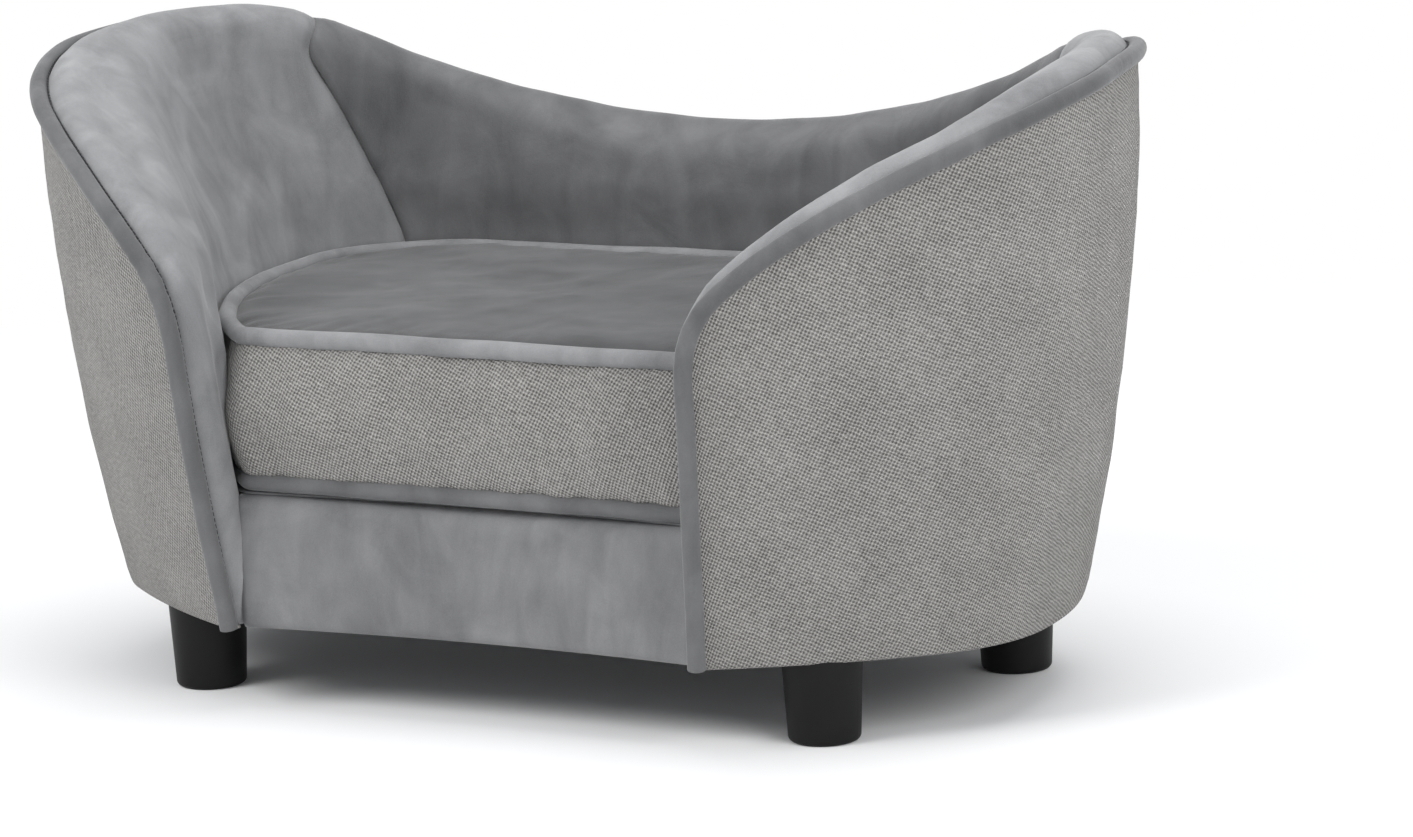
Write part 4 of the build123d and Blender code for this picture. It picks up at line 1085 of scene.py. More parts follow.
def roll_rings(first, last, seed):
    """Soft oval sections along the rim, drawn in at both ends and gathered on the bends."""
    s0, s1 = rim_s(first), rim_s(last)
    rings = []
    for s in even_values(s0, s1, s1 - s0, ROLL_PITCH):
        place = rim_frame(rim_t(s))
        ends = min(s - s0, s1 - s)
        round_off = math.sqrt(max(1 - (1 - min(ends / ROLL_END, 1.0)) ** 2, 0.0))
        foot = (first == 0 and s - s0 < ROLL_FOOT) or (last == LAST and s1 - s < ROLL_FOOT)
        size = (0.55 + 0.45 * round_off) if foot else (0.94 + 0.06 * round_off)
        ring = []
        for k in range(ROLL_SIDES):
            turn = 2 * math.pi * k / ROLL_SIDES
            wide, high = math.cos(turn), math.sin(turn)
            more = min(roll_puff(s, wide, high, seed), 0.4) - COVER_CLOTH
            ring.append(roll_point(place, wide, high, more, size))
        rings.append(ring)
    return rings


# Apron: its height, its columns, and of each row the place in front of the wall, the height, and how
# freely it swells
APRON_LOW, APRON_HIGH = 48.3, 122.1
APRON_COLUMNS = 92
APRON_ROWS = (
    (-24.0, 48.1, 0.0), (-14.0, 47.7, 0.0), (-5.0, 47.4, 0.0), (-1.8, 47.8, 0.0), (-0.2, 49.8, 0.0),
    *((0.0, 52.0 + 64.0 * i / 26, 1.0) for i in range(27)),
    (-0.6, 118.6, 1.0), (-2.2, 120.9, 0.6), (-4.6, 122.0, 0.3), (-8.0, 122.4, 0.0), (-14.0, 122.4, 0.0),
)


def apron_grid():
    """Rows from under the frame, up the bulging front, and back over the top."""
    grid = []
    for back, z, free in APRON_ROWS:
        share = min(max((z - APRON_LOW) / (APRON_HIGH - APRON_LOW), 0.0), 1.0)
        half = SEAT_FRONT_HALF + 5.0 * share + 4.0
        end = -166.0 + 6.0 * share
        middle = SEAT_FRONT + 5.0 * share
        row = []
        for j in range(APRON_COLUMNS + 1):
            x = half * (2 * j / APRON_COLUMNS - 1)
            y = middle + (end - middle) * (x / half) ** 2
            edge = half - abs(x)
            swell = -3.4 * math.sin(math.pi * share) ** 0.8 * step(2.0, 34.0, edge) * free
            soft = cloth_noise((x, y, z), 6.0) * 2.2 * free * step(0.0, 16.0, edge)
            pull = puckers(z, edge - 4.0, 18.0, 15.0, 31.0 + (x > 0)) * 1.6 * free * step(0.0, 6.0, edge)
            pull += puckers(x, 122.0 - z, 14.0, 22.0, 35.0) * free
            pull += puckers(x, z - 48.0, 14.0, 26.0, 37.0) * 0.8 * free
            row.append(Vector((x, y - back + swell + soft + pull, z)))
        grid.append(row)
    return grid


# Loose cushion: heights of its pipings, how far the band and the panels are sewn into them, and the
# slot of the zip in the rear of the band
CORD_LOW, CORD_HIGH = 129.8, 213.2
CORD_SEAM, PANEL_SEAM = 2.4, 2.2
BAND_ROWS = 26
BAND_FREE, BAND_FLAT = (-112.0, -154.0), (60.0, 128.0)  # depths at which the band gets free and flat
PANEL_LOW = 125.4
ZIP_RECESS, ZIP_HALF, ZIP_Z, ZIP_SLOT = 6.0, 138.0, 171.5, 11.0
SEAT_MIDDLE = (SEAT_FRONT + SEAT_BACK) / 2


def cushion_outline(grow, back_shift=0.0, pitch=4.0):
    """Plan of the cushion from the middle of the back, round the left; same count for any growth."""
    wide, rear = SEAT_W / 2 + grow, SEAT_BACK - back_shift + grow
    side = (SEAT_W / 2 - SEAT_SIDE_R, WIDEST_Y)
    corner = (SEAT_FRONT_HALF, SEAT_FRONT + SEAT_FRONT_CORNER)
    lean = math.degrees(math.atan2(corner[1] - side[1], corner[0] - side[0]))
    turn = (SEAT_W / 2 - SEAT_BACK_CORNER, SEAT_BACK - back_shift - SEAT_BACK_CORNER)
    front_y = SEAT_FRONT - grow

    def spread_over(points_at, length):
        """Even points of one stretch, without its last."""
        count = max(int(round(length / pitch)), 2)
        return [points_at(i / count) for i in range(count)]

    right = spread_over(lambda f: (SEAT_FRONT_HALF * f, front_y), SEAT_FRONT_HALF)
    bend = SEAT_FRONT_CORNER + grow
    right += spread_over(lambda f: on_arc(corner, bend, -90.0 + (lean + 90.0) * f), 2.0 * SEAT_FRONT_CORNER)
    right += spread_over(lambda f: on_arc(side, SEAT_SIDE_R + grow, lean * (1 - f)), 200.0)
    right += [(wide, WIDEST_Y)]
    right += spread_over(lambda f: on_arc(turn, SEAT_BACK_CORNER + grow, 90.0 * f), 1.57 * SEAT_BACK_CORNER)
    back = [(turn[0] * (1 - f), rear) for f in even_values(0.0, 1.0, turn[0], pitch)]
    left = [(-x, y) for x, y in reversed((right + back)[1:-1])]
    first = len(right + back) - 1
    return (right + back + left)[first:] + (right + back + left)[:first]


def outward_of(points):
    """Outward directions of a closed outline that runs counter-clockwise."""
    n = len(points)
    result = []
    for i in range(n):
        (x0, y0), (x1, y1) = points[i - 1], points[(i + 1) % n]
        d = math.hypot(x1 - x0, y1 - y0)
        result.append(((y1 - y0) / d, -(x1 - x0) / d))
    return result


def cord_line(z, seed):
    """Line of a cushion piping, with a little sway and a freer front."""
    points = cushion_outline(-PIPE_R)
    outs = outward_of(points)
    line = []
    for (x, y), (ox, oy) in zip(points, outs):
        front = step(-100.0, -150.0, y)
        sway = min(bumps((x, y, z), 46.0, seed) * 0.8, 0.3) + 1.2 * front * bumps((x, y, z), 60.0, seed + 2)
        lift = bumps((x, y, z), 50.0, seed + 6.0) * 0.9
        line.append(Vector((x + ox * sway, y + oy * sway, z + lift)))
    return line


def boxing_grid():
    """Band round the sides, full at the free front and flat at the walls, sewn into both cords."""
    low, high = CORD_LOW + CORD_SEAM, CORD_HIGH - CORD_SEAM
    heights = [low + (high - low) * i / BAND_ROWS for i in range(BAND_ROWS + 1)]
    for edge in (ZIP_Z - ZIP_SLOT, ZIP_Z + ZIP_SLOT):
        near = min(range(len(heights)), key=lambda i: abs(heights[i] - edge))
        heights[near] = edge
    base = cushion_outline(-PIPE_R)
    rear = cushion_outline(-PIPE_R, ZIP_RECESS)
    outs = outward_of(base)
    runs = run_lengths(base)
    grid = []
    for z in heights:
        share = (z - low) / (high - low)
        belly = math.sin(math.pi * share) ** 0.6
        row = []
        for (x, y), (_, y_rear), (ox, oy), s in zip(base, rear, outs, runs):
            front = step(*BAND_FREE, y)
            flat = step(*BAND_FLAT, y)
            y = y_rear if y > BAND_FLAT[0] else y
            full = PIPE_R - 0.7 + 6.0 * front
            q = (x, y, z)
            soft = cloth_noise(q, 12.0) * (0.5 + 7.0 * front) * (1 - flat)
            pull = puckers(s, z - low, 12.0, 11.0, 21.0) + puckers(s, high - z, 12.0, 11.0, 26.0)
            move = belly * full + pull * (0.35 + 2.4 * front) * (1 - flat) + soft * belly
            if front < 0.2:
                move = min(move, PIPE_R - 0.1)
            if flat > 0.0:
                move = move * (1 - flat) + flat * belly * (PIPE_R - 0.6)
            row.append(Vector((x + ox * move, y + oy * move, z)))
        grid.append(row)
    return grid


def zip_opening(grid):
    """Test for the quads that the slot of the zip leaves out."""
    cols = len(grid[0])

    def hole(i, j):
        """True where all corners of a quad lie in the slot."""
        corners = (grid[i][j], grid[i][(j + 1) % cols], grid[i + 1][j], grid[i + 1][(j + 1) % cols])
        wide, high = ZIP_HALF + 0.5, ZIP_SLOT + 0.1
        return all(p.y > 100.0 and abs(p.x) <= wide and abs(p.z - ZIP_Z) <= high for p in corners)

    return hole


def top_panel_grid(crown):
    """Crowned velvet top from the cord to the middle, with soft dents and pulls at the seam."""
    edge_z = CORD_HIGH - PIPE_R / 3
    spreads = [1.0, 0.992, 0.982, 0.97, 0.955, 0.94, 0.92, 0.9] + [0.9 - 0.88 * i / 24 for i in range(1, 25)]
    shares = [0.6, 0.8, 0.92, 0.975, 1.0]
    rises = [1.0, 0.95, 0.76, 0.42, 0.0]
    base = cushion_outline(-PIPE_R - PANEL_SEAM)
    runs = run_lengths(base)
    grid = []
    for spread in spreads:
        row = []
        rise = smooth_value(spread, shares, rises)
        for (x, y), s in zip(base, runs):
            px, py = x * spread, SEAT_MIDDLE + (y - SEAT_MIDDLE) * spread
            depth = (1 - spread) * math.hypot(x, y - SEAT_MIDDLE)
            inside = step(2.0, 22.0, depth)
            soft = (bumps((px, py, 0), 85.0, 41.0) * 2.6 + bumps((px, py, 0), 34.0, 44.0) * 1.3) * inside
            soft += bumps((px, py, 0), 14.0, 47.0) * 0.4 * inside
            pull = puckers(s, depth - 3.0, 15.0, 13.0, 51.0) * 1.6 * step(1.0, 7.0, depth)
            row.append(Vector((px, py, edge_z + crown * rise + soft + pull)))
        grid.append(row)
    return grid


def ringed_sheet(outline, z, seed, depth, rings=14):
    """Flat sheet drawn from its outline to the middle, a little uneven."""
    cx = sum(p[0] for p in outline) / len(outline)
    cy = sum(p[1] for p in outline) / len(outline)
    grid = []
    for i in range(rings + 1):
        spread = 1.0 - 0.985 * i / rings
        row = []
        for x, y in outline:
            px, py = cx + (x - cx) * spread, cy + (y - cy) * spread
            rise = bumps((px, py, 0), 45.0, seed) * depth * step(1.0, 0.96, spread)
            row.append(Vector((px, py, z + rise)))
        grid.append(row)
    return grid


def turned_over(grid):
    """The same rings, seen from the other side."""
    return [list(reversed(row)) for row in grid]


# Deck cloth and dust cloth: their heights, the distance of their points, and their front edges
DECK_Z, DUST_Z, SHEET_PITCH = 123.9, 48.35, 6.0
DECK_HALF, DECK_FRONT, DECK_BOW = 143.0, -154.0, 7.0
DUST_FRONT, DUST_SET_BACK, DUST_INSET = -135.0, 38.0, 2.2
EDGE_SHARES = [i / 20 - 1 for i in range(41)]


def deck_grid():
    """Rings of the deck cloth, between the linings and the bowed front."""
    places = even_values(INNER_S[-1], 0.0, INNER_S[-1], SHEET_PITCH)
    right = [inner_point(inner_c(s), DECK_H) for s in places]
    right = [(x * 0.998, y - 0.4) for x, y in right]
    walls = right + [(-x, y) for x, y in reversed(right[:-1])]
    front = [(DECK_HALF * f, DECK_FRONT + DECK_BOW * (1 - f**2)) for f in EDGE_SHARES]
    return ringed_sheet(walls + front, DECK_Z, 111.0, 0.2)


def dust_grid():
    """Rings of the dust cloth under the frame, seen from below."""
    first = FACE_TURN + math.degrees(DUST_SET_BACK / FACE_R)
    angles = even_values(first, 180.0 - first, 1500.0, SHEET_PITCH)
    walls = [wall_point(angle, 50.0, DUST_INSET) for angle in angles]
    front = [(nose_x_at(DUST_FRONT) * f, DUST_FRONT) for f in EDGE_SHARES]
    return turned_over(ringed_sheet(walls + front, DUST_Z, 115.0, 0.12))


# Measuring cloths and attaching pieces to their bodies
def cloth_piece(grid, wrap=False, hole=None):
    """Works out the area of a cloth stretched over what is under it, and its size, its grid's longest row and
    column; the results are not kept.
    """
    rows, cols = len(grid), len(grid[0])
    area = 0.0
    for i in range(rows - 1):
        for j in range(cols if wrap else cols - 1):
            if hole and hole(i, j):
                continue
            a, b = grid[i][j], grid[i][(j + 1) % cols]
            c, d = grid[i + 1][(j + 1) % cols], grid[i + 1][j]
            area += ((b - a).cross(c - a).length + (c - a).cross(d - a).length) / 2
    width = max(sum((b - a).length for a, b in zip(row, row[1:])) for row in grid)
    length = max(sum((grid[i + 1][j] - grid[i][j]).length for i in range(rows - 1)) for j in range(cols))


def belongs(obj, body, slot_name, *nodes):
    """Parents a piece to the body it moves with and hides the CAD nodes it stands for; the slot name is not
    used.
    """
    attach(obj, body)
    if nodes:
        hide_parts(*nodes)


# Behind the front bend the arm foams keep only this share of their height above a level, and more of it
# from the front place to the back one
ARM_FOAM_LOW, ARM_FOAM_KEPT = 180.0, 0.2
ARM_FOAM_FRONT, ARM_FOAM_BACK = -110.0, -50.0
WELD = 0.00002  # metres


def stuffing(node, voxel, body, shrink, flatten):
    """Foam copy of a CAD node: merged, remeshed, softened and drawn in from its cover."""
    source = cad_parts[node]
    mesh = source.data.copy()
    mesh.transform(source.matrix_world)
    work = bmesh.new()
    work.from_mesh(mesh)
    bmesh.ops.remove_doubles(work, verts=work.verts, dist=WELD)
    work.to_mesh(mesh)
    work.free()
    mesh.materials.clear()
    copy = linked("soft_" + node + "_source", mesh)
    for label, kind, settings in (
        ("Remesh", "REMESH", {"mode": "VOXEL", "voxel_size": voxel * MM}),
        ("Soften", "SMOOTH", {"iterations": 3, "factor": 0.5}),
        ("Draw in", "DISPLACE", {"mid_level": 0.0, "strength": -shrink * MM}),
    ):
        modifier = copy.modifiers.new(label, kind)
        for key, value in settings.items():
            setattr(modifier, key, value)
    made = evaluated_mesh(copy)
    made.materials.clear()
    made.materials.append(MATERIALS["foam"])
    lowest = min(v.co.z for v in made.vertices)
    for v in made.vertices:
        v.co.z = lowest + (v.co.z - lowest) * flatten
        if "arm" in node:
            keep = ARM_FOAM_KEPT + (1 - ARM_FOAM_KEPT) * step(ARM_FOAM_FRONT, ARM_FOAM_BACK, v.co.y / MM)
            low = ARM_FOAM_LOW * MM
            v.co.z = min(v.co.z, low + max(v.co.z - low, 0.0) * keep)
    made.polygons.foreach_set("use_smooth", [True] * len(made.polygons))
    obj = linked("soft_" + node, made)
    belongs(obj, body, "foam", node)


# Settings that a user would change
class SofaSizes(bpy.types.PropertyGroup):
    """Sizes of the soft trim."""

    piping_radius: bpy.props.FloatProperty(
        name="Piping radius", description="Radius of the cords sewn round the rim and the cushion",
        default=PIPE_R * MM, min=0.002, max=0.01, unit="LENGTH",
    )
    cushion_crown: bpy.props.FloatProperty(
        name="Cushion crown", description="Rise of the cushion's top over its seam",
        default=0.008, min=0.0, max=0.02, unit="LENGTH",
    )
    stitch_pitch: bpy.props.FloatProperty(
        name="Stitch pitch", description="Distance from one stitch to the next",
        default=0.0036, min=0.001, max=0.01, unit="LENGTH",
    )
    lamp_level: bpy.props.FloatProperty(
        name="Lamp level", description="Strength of the studio lamps",
        default=1.0, min=0.0, max=4.0, subtype="FACTOR",
    )


class SofaColours(bpy.types.PropertyGroup):
    """Colours of the cloths and the legs."""

    cloth_light: bpy.props.FloatVectorProperty(
        name="Cloth light", description="Light threads of the woven cloth",
        default=(0.48, 0.468, 0.448, 1), size=4, min=0, max=1, subtype="COLOR",
    )
    cloth_dark: bpy.props.FloatVectorProperty(
        name="Cloth dark", description="Dark threads of the woven cloth",
        default=(0.085, 0.08, 0.075, 1), size=4, min=0, max=1, subtype="COLOR",
    )
    velvet_light: bpy.props.FloatVectorProperty(
        name="Velvet light", description="Velvet where its pile leans to the light",
        default=(0.32, 0.322, 0.328, 1), size=4, min=0, max=1, subtype="COLOR",
    )
    velvet_dark: bpy.props.FloatVectorProperty(
        name="Velvet dark", description="Velvet where its pile leans away",
        default=(0.078, 0.079, 0.082, 1), size=4, min=0, max=1, subtype="COLOR",
    )
    leg_black: bpy.props.FloatVectorProperty(
        name="Leg black", description="Plastic of the legs",
        default=(0.006, 0.006, 0.006, 1), size=4, min=0, max=1, subtype="COLOR",
    )


# Pipings and stitches: distance of a piping's points and the length in which its ends run straight, how
# much of its pitch a stitch fills, the threads' radius in metres, and the rim stitches' place inside the
# middle of the piping and above it
PIPING_SIDES, PIPING_PITCH, PIPING_END = 18, 3.6, 12.0
STITCH_SHARE, ZIP_THREAD, RIM_THREAD = 0.62, 0.00032, 0.0005
STITCH_IN, STITCH_UP, STITCH_OFF_SLOT = 5.5, 2.6, 2.2


class SOFA_OT_finishes(bpy.types.Operator):
    """Makes the procedural materials"""

    bl_idname = "sofa.finishes"
    bl_label = "Finishes"

    def execute(self, context):
        make_materials(context.scene.sofa_colours)
        return {"FINISHED"}


class SOFA_OT_outer_cover(bpy.types.Operator):
    """Lays the woven cover round both arms and the back"""

    bl_idname = "sofa.outer_cover"
    bl_label = "Outer cover"

    def execute(self, context):
        grid = outer_cover_grid()
        obj = shell("woven_outer_cover", grid, COVER_CLOTH, "woven")
        belongs(obj, "frame", "woven_cloth", "outer_cover")
        cloth_piece(grid)
        return {"FINISHED"}


class SOFA_OT_linings(bpy.types.Operator):
    """Lines the arms and the back with velvet"""

    bl_idname = "sofa.linings"
    bl_label = "Linings"

    def execute(self, context):
        for name, first, last, seed, material in (
            ("right_arm_lining", C_SEAM, NOSE_PLACE, 61.0, "velvet_arm"),
            ("back_lining", -C_SEAM, C_SEAM, 66.0, "velvet_back"),
            ("left_arm_lining", -NOSE_PLACE, -C_SEAM, 71.0, "velvet_arm"),
        ):
            grid, hole = lining_grid(first, last, seed)
            obj = shell("velvet_" + name, grid, COVER_CLOTH, material, hole=hole)
            belongs(obj, "frame", "velvet", name)
            cloth_piece(grid, hole=hole)
        return {"FINISHED"}


class SOFA_OT_rolls(bpy.types.Operator):
    """Makes the padded velvet roll along the rim"""

    bl_idname = "sofa.rolls"
    bl_label = "Rim roll"

    def execute(self, context):
        for (part, first, last), seed in zip(RIM_PARTS, (81.0, 84.0, 87.0)):
            name = part + "_roll"
            obj = tube_grid("velvet_" + name, roll_rings(first, last, seed), "velvet_roll")
            belongs(obj, "frame", "velvet", name)
        return {"FINISHED"}


class SOFA_OT_pipings(bpy.types.Operator):
    """Runs the velvet piping round the rim and the cushion"""

    bl_idname = "sofa.pipings"
    bl_label = "Pipings"

    def execute(self, context):
        tree = tube_tree()
        radius = context.scene.sofa_sizes.piping_radius
        # The pipings take copies of the velvet with painted light and shade: the rim and cushion bottom
        # pipings a darker one, the cushion top piping a lighter one
        values = {"Radius": radius, "Sides": PIPING_SIDES, "Material": MATERIALS["velvet_cord"]}
        light = dict(values, Material=MATERIALS["velvet_seat_cord"])
        for part, first, last in RIM_PARTS:
            name = part + "_piping"
            s0, s1 = rim_s(first), rim_s(last)
            line = []
            for s in even_values(s0, s1, s1 - s0, PIPING_PITCH):
                centre, out, up = rim_frame(rim_t(s))
                ends = step(0.0, PIPING_END, min(s - s0, s1 - s))
                sway = bumps((s, 0, 0), 34.0, 91.0) * 0.5 * ends
                gather = 0.5 * math.sin(s * 2 * math.pi / 12.0 + bumps((s, 5, 0), 20.0, 97.0))
                sway += gather * near_bend(s, CORD_BEND, 30.0)
                line.append(centre + out * (sway - 0.3) + up * bumps((s, 9, 0), 40.0, 95.0) * 0.6 * ends)
            obj = made_along("velvet_" + name, [line], tree, values)
            belongs(obj, "frame", "velvet", name)
        for name, z, seed, finish in (
            ("cushion_top_piping", CORD_HIGH, 101.0, light),
            ("cushion_bottom_piping", CORD_LOW, 105.0, values),
        ):
            obj = made_along("velvet_" + name, [cord_line(z, seed)], tree, finish, closed=True)
            belongs(obj, "cushion", "velvet", name)
        return {"FINISHED"}


class SOFA_OT_apron(bpy.types.Operator):
    """Makes the velvet apron, the deck cloth and the dust cloth"""

    bl_idname = "sofa.apron"
    bl_label = "Apron and under cloths"

    def execute(self, context):
        grid = apron_grid()
        obj = shell("velvet_front_apron", grid, COVER_CLOTH, "velvet_apron")
        belongs(obj, "frame", "velvet", "front_apron")
        cloth_piece(grid)
        grid = deck_grid()
        obj = shell("velvet_deck_cover", grid, CUSHION_CLOTH, "velvet_apron", wrap=True, cap=True)
        belongs(obj, "frame", "velvet", "deck_cover")
        cloth_piece(grid, wrap=True)
        grid = dust_grid()
        obj = shell("black_dust_cover", grid, DUST_CLOTH, "dust", wrap=True, cap=True)
        belongs(obj, "frame", "dust_cloth", "dust_cover")
        cloth_piece(grid, wrap=True)
        return {"FINISHED"}


class SOFA_OT_cushion(bpy.types.Operator):
    """Makes the loose cushion's band and panels"""

    bl_idname = "sofa.cushion"
    bl_label = "Seat cushion"

    def execute(self, context):
        grid = boxing_grid()
        hole = zip_opening(grid)
        obj = shell("woven_cushion_band", grid, CUSHION_CLOTH, "woven", wrap=True, hole=hole)
        belongs(obj, "cushion", "woven_cloth", "cushion_boxing")
        cloth_piece(grid, wrap=True)
        grid = top_panel_grid(context.scene.sofa_sizes.cushion_crown / MM)
        obj = shell("velvet_cushion_top", grid, CUSHION_CLOTH, "velvet_seat", wrap=True, cap=True)
        belongs(obj, "cushion", "velvet", "cushion_top_panel")
        cloth_piece(grid, wrap=True)
        outline = cushion_outline(-PIPE_R - PANEL_SEAM)
        grid = turned_over(ringed_sheet(outline, PANEL_LOW, 121.0, 0.3, rings=20))
        obj = shell("woven_cushion_bottom", grid, CUSHION_CLOTH, "woven", wrap=True, cap=True)
        belongs(obj, "cushion", "woven_cloth", "cushion_bottom_panel")
        cloth_piece(grid, wrap=True)
        return {"FINISHED"}


class SOFA_OT_stuffing(bpy.types.Operator):
    """Makes the foam and the fibre layer inside the covers"""

    bl_idname = "sofa.stuffing"
    bl_label = "Stuffing"

    def execute(self, context):
        for node, voxel, body, fill, shrink, flatten in (
            ("right_arm_foam", 6.0, "frame", 0.9, 8.0, 1.0),
            ("left_arm_foam", 6.0, "frame", 0.9, 8.0, 1.0),
            ("back_foam", 6.0, "frame", 0.9, 8.0, 1.0),
            ("apron_foam", 4.0, "frame", 0.9, 1.5, 1.0),
            ("deck_foam", 5.0, "frame", 0.9, 1.0, 1.0),
            ("cushion_wadding", 4.0, "cushion", 0.6, 0.4, 0.35),
            ("cushion_foam", 6.0, "cushion", 0.9, 3.0, 1.0),
        ):
            stuffing(node, voxel, body, shrink, flatten)
        return {"FINISHED"}


class SOFA_OT_stitches(bpy.types.Operator):
    """Sews the stitch rows along the zip and under the rim piping"""

    bl_idname = "sofa.stitches"
    bl_label = "Stitches"

    def execute(self, context):
        pitch = context.scene.sofa_sizes.stitch_pitch
        tree = stitch_tree()
        values = {"Pitch": pitch, "Length": pitch * STITCH_SHARE}
        values.update({"Thread": ZIP_THREAD, "Material": MATERIALS["thread"]})
        y = SEAT_BACK - ZIP_RECESS - 0.55
        heights = (ZIP_Z - ZIP_SLOT - STITCH_OFF_SLOT, ZIP_Z + ZIP_SLOT + STITCH_OFF_SLOT)
        lines = [[(ZIP_HALF * (1 - i / 20), y, z) for i in range(41)] for z in heights]
        obj = made_along("zip_stitches", lines, tree, values)
        belongs(obj, "cushion", "zip_tape")
        line, whole = [], rim_s(LAST)
        for s in even_values(PIPING_END, whole - PIPING_END, whole, 4.0):
            centre, out, up = rim_frame(rim_t(s))
            line.append(centre - out * STITCH_IN + up * STITCH_UP)
        values = dict(values, Thread=RIM_THREAD, Material=MATERIALS["dark_thread"])
        obj = made_along("rim_stitches", [line], tree, values)
        belongs(obj, "frame", "velvet")
        return {"FINISHED"}


class SOFA_OT_hardware(bpy.types.Operator):
    """Gives the boards, legs, metal and zip parts their finishes"""

    bl_idname = "sofa.hardware"
    bl_label = "Hard parts"

    def execute(self, context):
        finishes = {
            "wood": ["shell_board", "base_board", "front_rail", "back_rail", "centre_slat",
                     "right_side_rail", "left_side_rail", "deck_board"],
            "leg": ["leg_front_right", "leg_front_left", "leg_rear_right", "leg_rear_left"],
            "steel": ["hanger_bolts", "t_nuts", "dust_staples", "frame_screws"],
            "tape": ["zip_tape_upper", "zip_tape_lower"],
            "tooth": ["zip_teeth", "zip_stops"],
            "pull": ["zip_slider", "zip_pull"],
        }
        for finish, nodes in finishes.items():
            for node in nodes:
                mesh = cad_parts[node].data
                mesh.materials.clear()
                mesh.materials.append(MATERIALS[finish])
        return {"FINISHED"}


class SOFA_OT_studio(bpy.types.Operator):
    """Sets the floor, the lamps, the white room and the camera"""

    bl_idname = "sofa.studio"
    bl_label = "Studio"

    def execute(self, context):
        make_floor()
        make_room()
        make_lamps(context.scene.sofa_sizes.lamp_level)
        make_camera()
        context.scene.view_settings.view_transform = "Standard"
        return {"FINISHED"}


# Studio, in metres: the floor fades to white from a distance off the object's middle
WHITE = (1.0, 1.0, 1.0, 1.0)
FLOOR_GREY, FLOOR_REACH = (0.93, 0.93, 0.93, 1.0), 14.0
FADE_START, FADE_WIDTH = 0.5, 0.75
ROOM_TINT, ROOM_LEVEL = (0.95, 0.97, 1.0, 1.0), 0.55
LAMP_AIM = (0.0, 0.0, 0.15)
LAMPS = (  # name, place, size, and power in watts
    ("key_lamp", (-1.5, -2.2, 2.4), 1.8, 62.0),
    ("fill_lamp", (1.6, -0.7, 1.15), 1.2, 15.0),
    ("top_lamp", (0.2, 0.5, 2.8), 2.4, 38.0),
)
# Camera: the photograph's size, and the focal length and centre in its points; the turns; the distance
# from the aim; and how far it stands to the right of the aim and below it
PHOTO_WIDE, PHOTO_HIGH = 1413.0, 837.0
FOCAL, CENTRE_X, CENTRE_Y = 5925.0, 738.0, 418.3
SWING, PITCH, ROLL = 27.5, 11.5, -2.2
DISTANCE, AIM = 3393.0, (0.0, 0.0, 180.0)
ASIDE, BELOW = 80.0, 38.5
SENSOR = 36.0
FAR_LIMIT = 60.0  # metres


def floor_material():
    """Pale floor that keeps the shadow near the object and is plain white to the camera further off."""
    m = Mat("studio_floor")
    x, y, _ = m.split(m.place())
    far = ((x * x + y * y) ** 0.5 - FADE_START) / FADE_WIDTH
    seen = m.node("ShaderNodeLightPath", out="Is Camera Ray")
    m.finish(FLOOR_GREY, 0.8, Specular_IOR_Level=0.1)
    white = m.node("ShaderNodeEmission", {"Color": WHITE, "Strength": 1.0})
    pale = Sock(m, m.bsdf.outputs["BSDF"])
    mixed = m.node("ShaderNodeMixShader", {0: seen * far.clip(0.0, 1.0), 1: pale, 2: white})
    m.fill(m.tree.nodes["Material Output"].inputs, {"Surface": mixed})
    return m.mat


def make_floor():
    """Large flat floor, which is not part of the object."""
    mesh = bpy.data.meshes.new("studio_floor")
    corners = [(x * FLOOR_REACH, y * FLOOR_REACH, 0) for x, y in ((-1, -1), (1, -1), (1, 1), (-1, 1))]
    mesh.from_pydata(corners, [], [(0, 1, 2, 3)])
    mesh.materials.append(floor_material())
    linked("studio_floor", mesh)


def make_room():
    """World that is dim as a light and white where it is seen, mirrored or looked through."""
    world = bpy.data.worlds.new("studio_room")
    world.use_nodes = True
    bpy.context.scene.world = world
    world.node_tree.nodes.clear()
    room = Nodes(world.node_tree)
    rays = ("Is Camera Ray", "Is Glossy Ray", "Is Transmission Ray")
    seen, mirrored, through = room.node("ShaderNodeLightPath", out=rays)
    dim = room.node("ShaderNodeBackground", {"Color": ROOM_TINT, "Strength": ROOM_LEVEL})
    white = room.node("ShaderNodeBackground", {"Color": WHITE})
    values = {0: seen.larger(mirrored).larger(through), 1: dim, 2: white}
    mixed = room.node("ShaderNodeMixShader", values)
    room.node("ShaderNodeOutputWorld", {"Surface": mixed}, out=())


def make_lamps(level):
    """Round area lamps that face the object."""
    for name, place, size, power in LAMPS:
        data = bpy.data.lights.new(name, "AREA")
        data.shape = "DISK"
        data.size = size
        data.energy = power * level
        lamp = linked(name, data)
        lamp.location = place
        lamp.rotation_euler = (Vector(LAMP_AIM) - Vector(place)).to_track_quat("-Z", "Y").to_euler()


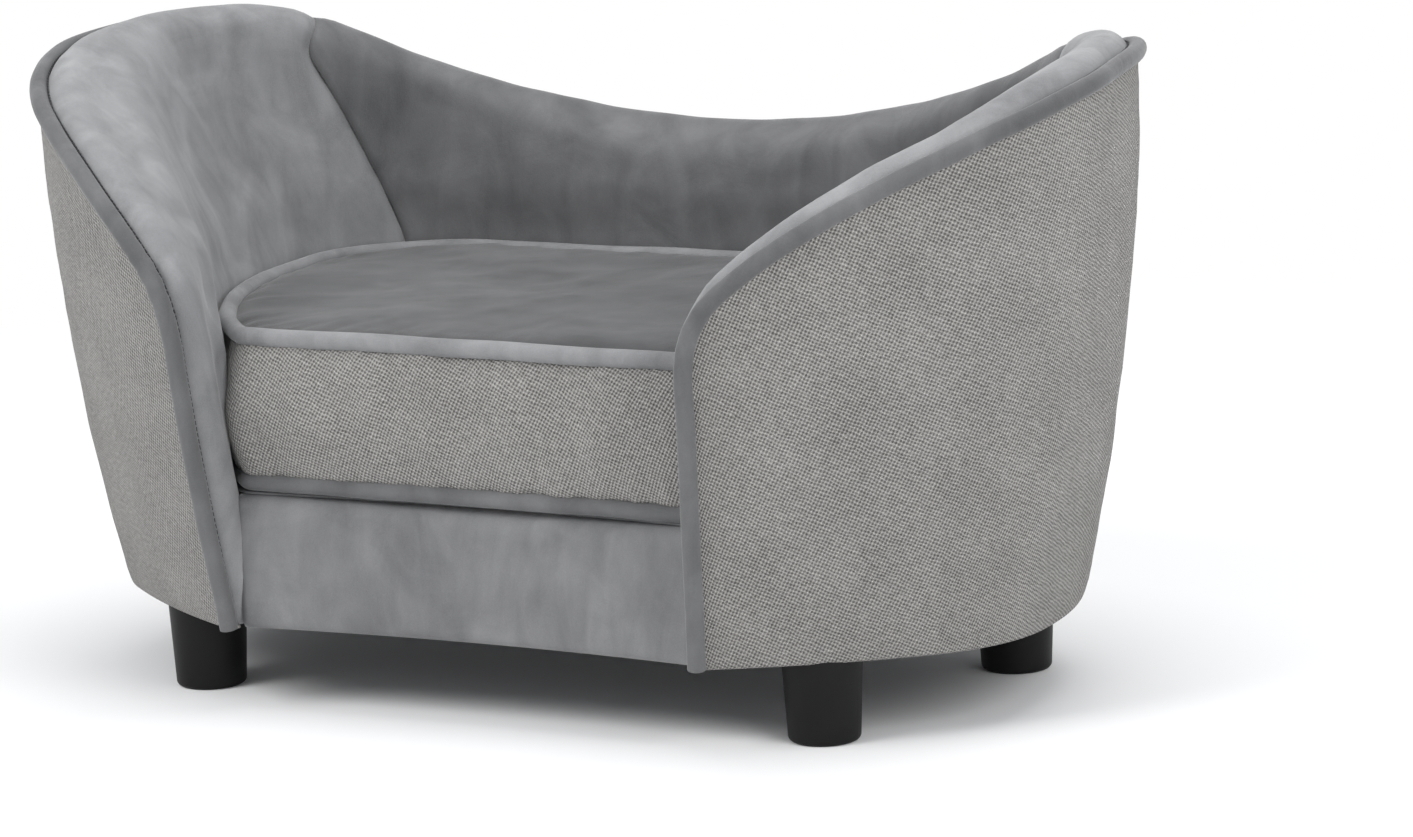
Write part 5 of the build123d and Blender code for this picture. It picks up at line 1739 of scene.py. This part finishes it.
def make_camera():
    """Camera at the photograph's angle."""
    swing, pitch, roll = rad(SWING), rad(PITCH), rad(ROLL)
    level = math.cos(pitch)
    ahead = Vector((-math.sin(swing) * level, math.cos(swing) * level, -math.sin(pitch)))
    right = Vector((math.cos(swing), math.sin(swing), 0))
    up = right.cross(ahead)
    place = (Vector(AIM) - ahead * DISTANCE + right * ASIDE - up * BELOW) * MM
    side = right * math.cos(roll) + up * math.sin(roll)
    above = up * math.cos(roll) - right * math.sin(roll)
    data = bpy.data.cameras.new("photo_camera")
    data.sensor_fit = "HORIZONTAL"
    data.sensor_width = SENSOR
    data.lens = FOCAL / PHOTO_WIDE * SENSOR
    data.shift_x = (PHOTO_WIDE / 2 - CENTRE_X) / PHOTO_WIDE
    data.shift_y = (CENTRE_Y - PHOTO_HIGH / 2) / PHOTO_WIDE
    data.clip_end = FAR_LIMIT
    camera = linked("photo_camera", data)
    turn = Matrix((side, above, -ahead)).transposed().to_4x4()
    camera.matrix_world = Matrix.Translation(place) @ turn
    bpy.context.scene.camera = camera


STEPS = (
    "finishes", "outer_cover", "linings", "rolls", "pipings", "apron", "cushion", "stuffing", "stitches",
    "hardware", "studio",
)


class SOFA_PT_panel(bpy.types.Panel):
    """Lists the build steps in the order they run"""

    bl_label = "Dog sofa bed"
    bl_idname = "SOFA_PT_panel"
    bl_space_type = "VIEW_3D"
    bl_region_type = "UI"
    bl_category = "Sofa bed"

    def draw(self, context):
        for group in (context.scene.sofa_sizes, context.scene.sofa_colours):
            for key in group.__annotations__:
                self.layout.prop(group, key)
        for name in STEPS:
            self.layout.operator("sofa." + name)


CLASSES = (
    SofaSizes, SofaColours, SOFA_OT_finishes, SOFA_OT_outer_cover, SOFA_OT_linings, SOFA_OT_rolls,
    SOFA_OT_pipings, SOFA_OT_apron, SOFA_OT_cushion, SOFA_OT_stuffing, SOFA_OT_stitches, SOFA_OT_hardware,
    SOFA_OT_studio, SOFA_PT_panel,
)


def register():
    """Makes the settings, steps and panel known."""
    for cls in CLASSES:
        bpy.utils.register_class(cls)
    bpy.types.Scene.sofa_sizes = bpy.props.PointerProperty(type=SofaSizes)
    bpy.types.Scene.sofa_colours = bpy.props.PointerProperty(type=SofaColours)


def unregister():
    """Takes them out again."""
    del bpy.types.Scene.sofa_colours
    del bpy.types.Scene.sofa_sizes
    for cls in reversed(CLASSES):
        bpy.utils.unregister_class(cls)


def main():
    """Builds the whole scene, step by step."""
    register()
    for name in STEPS:
        getattr(bpy.ops.sofa, name)()


if __name__ == "__main__":
    main()
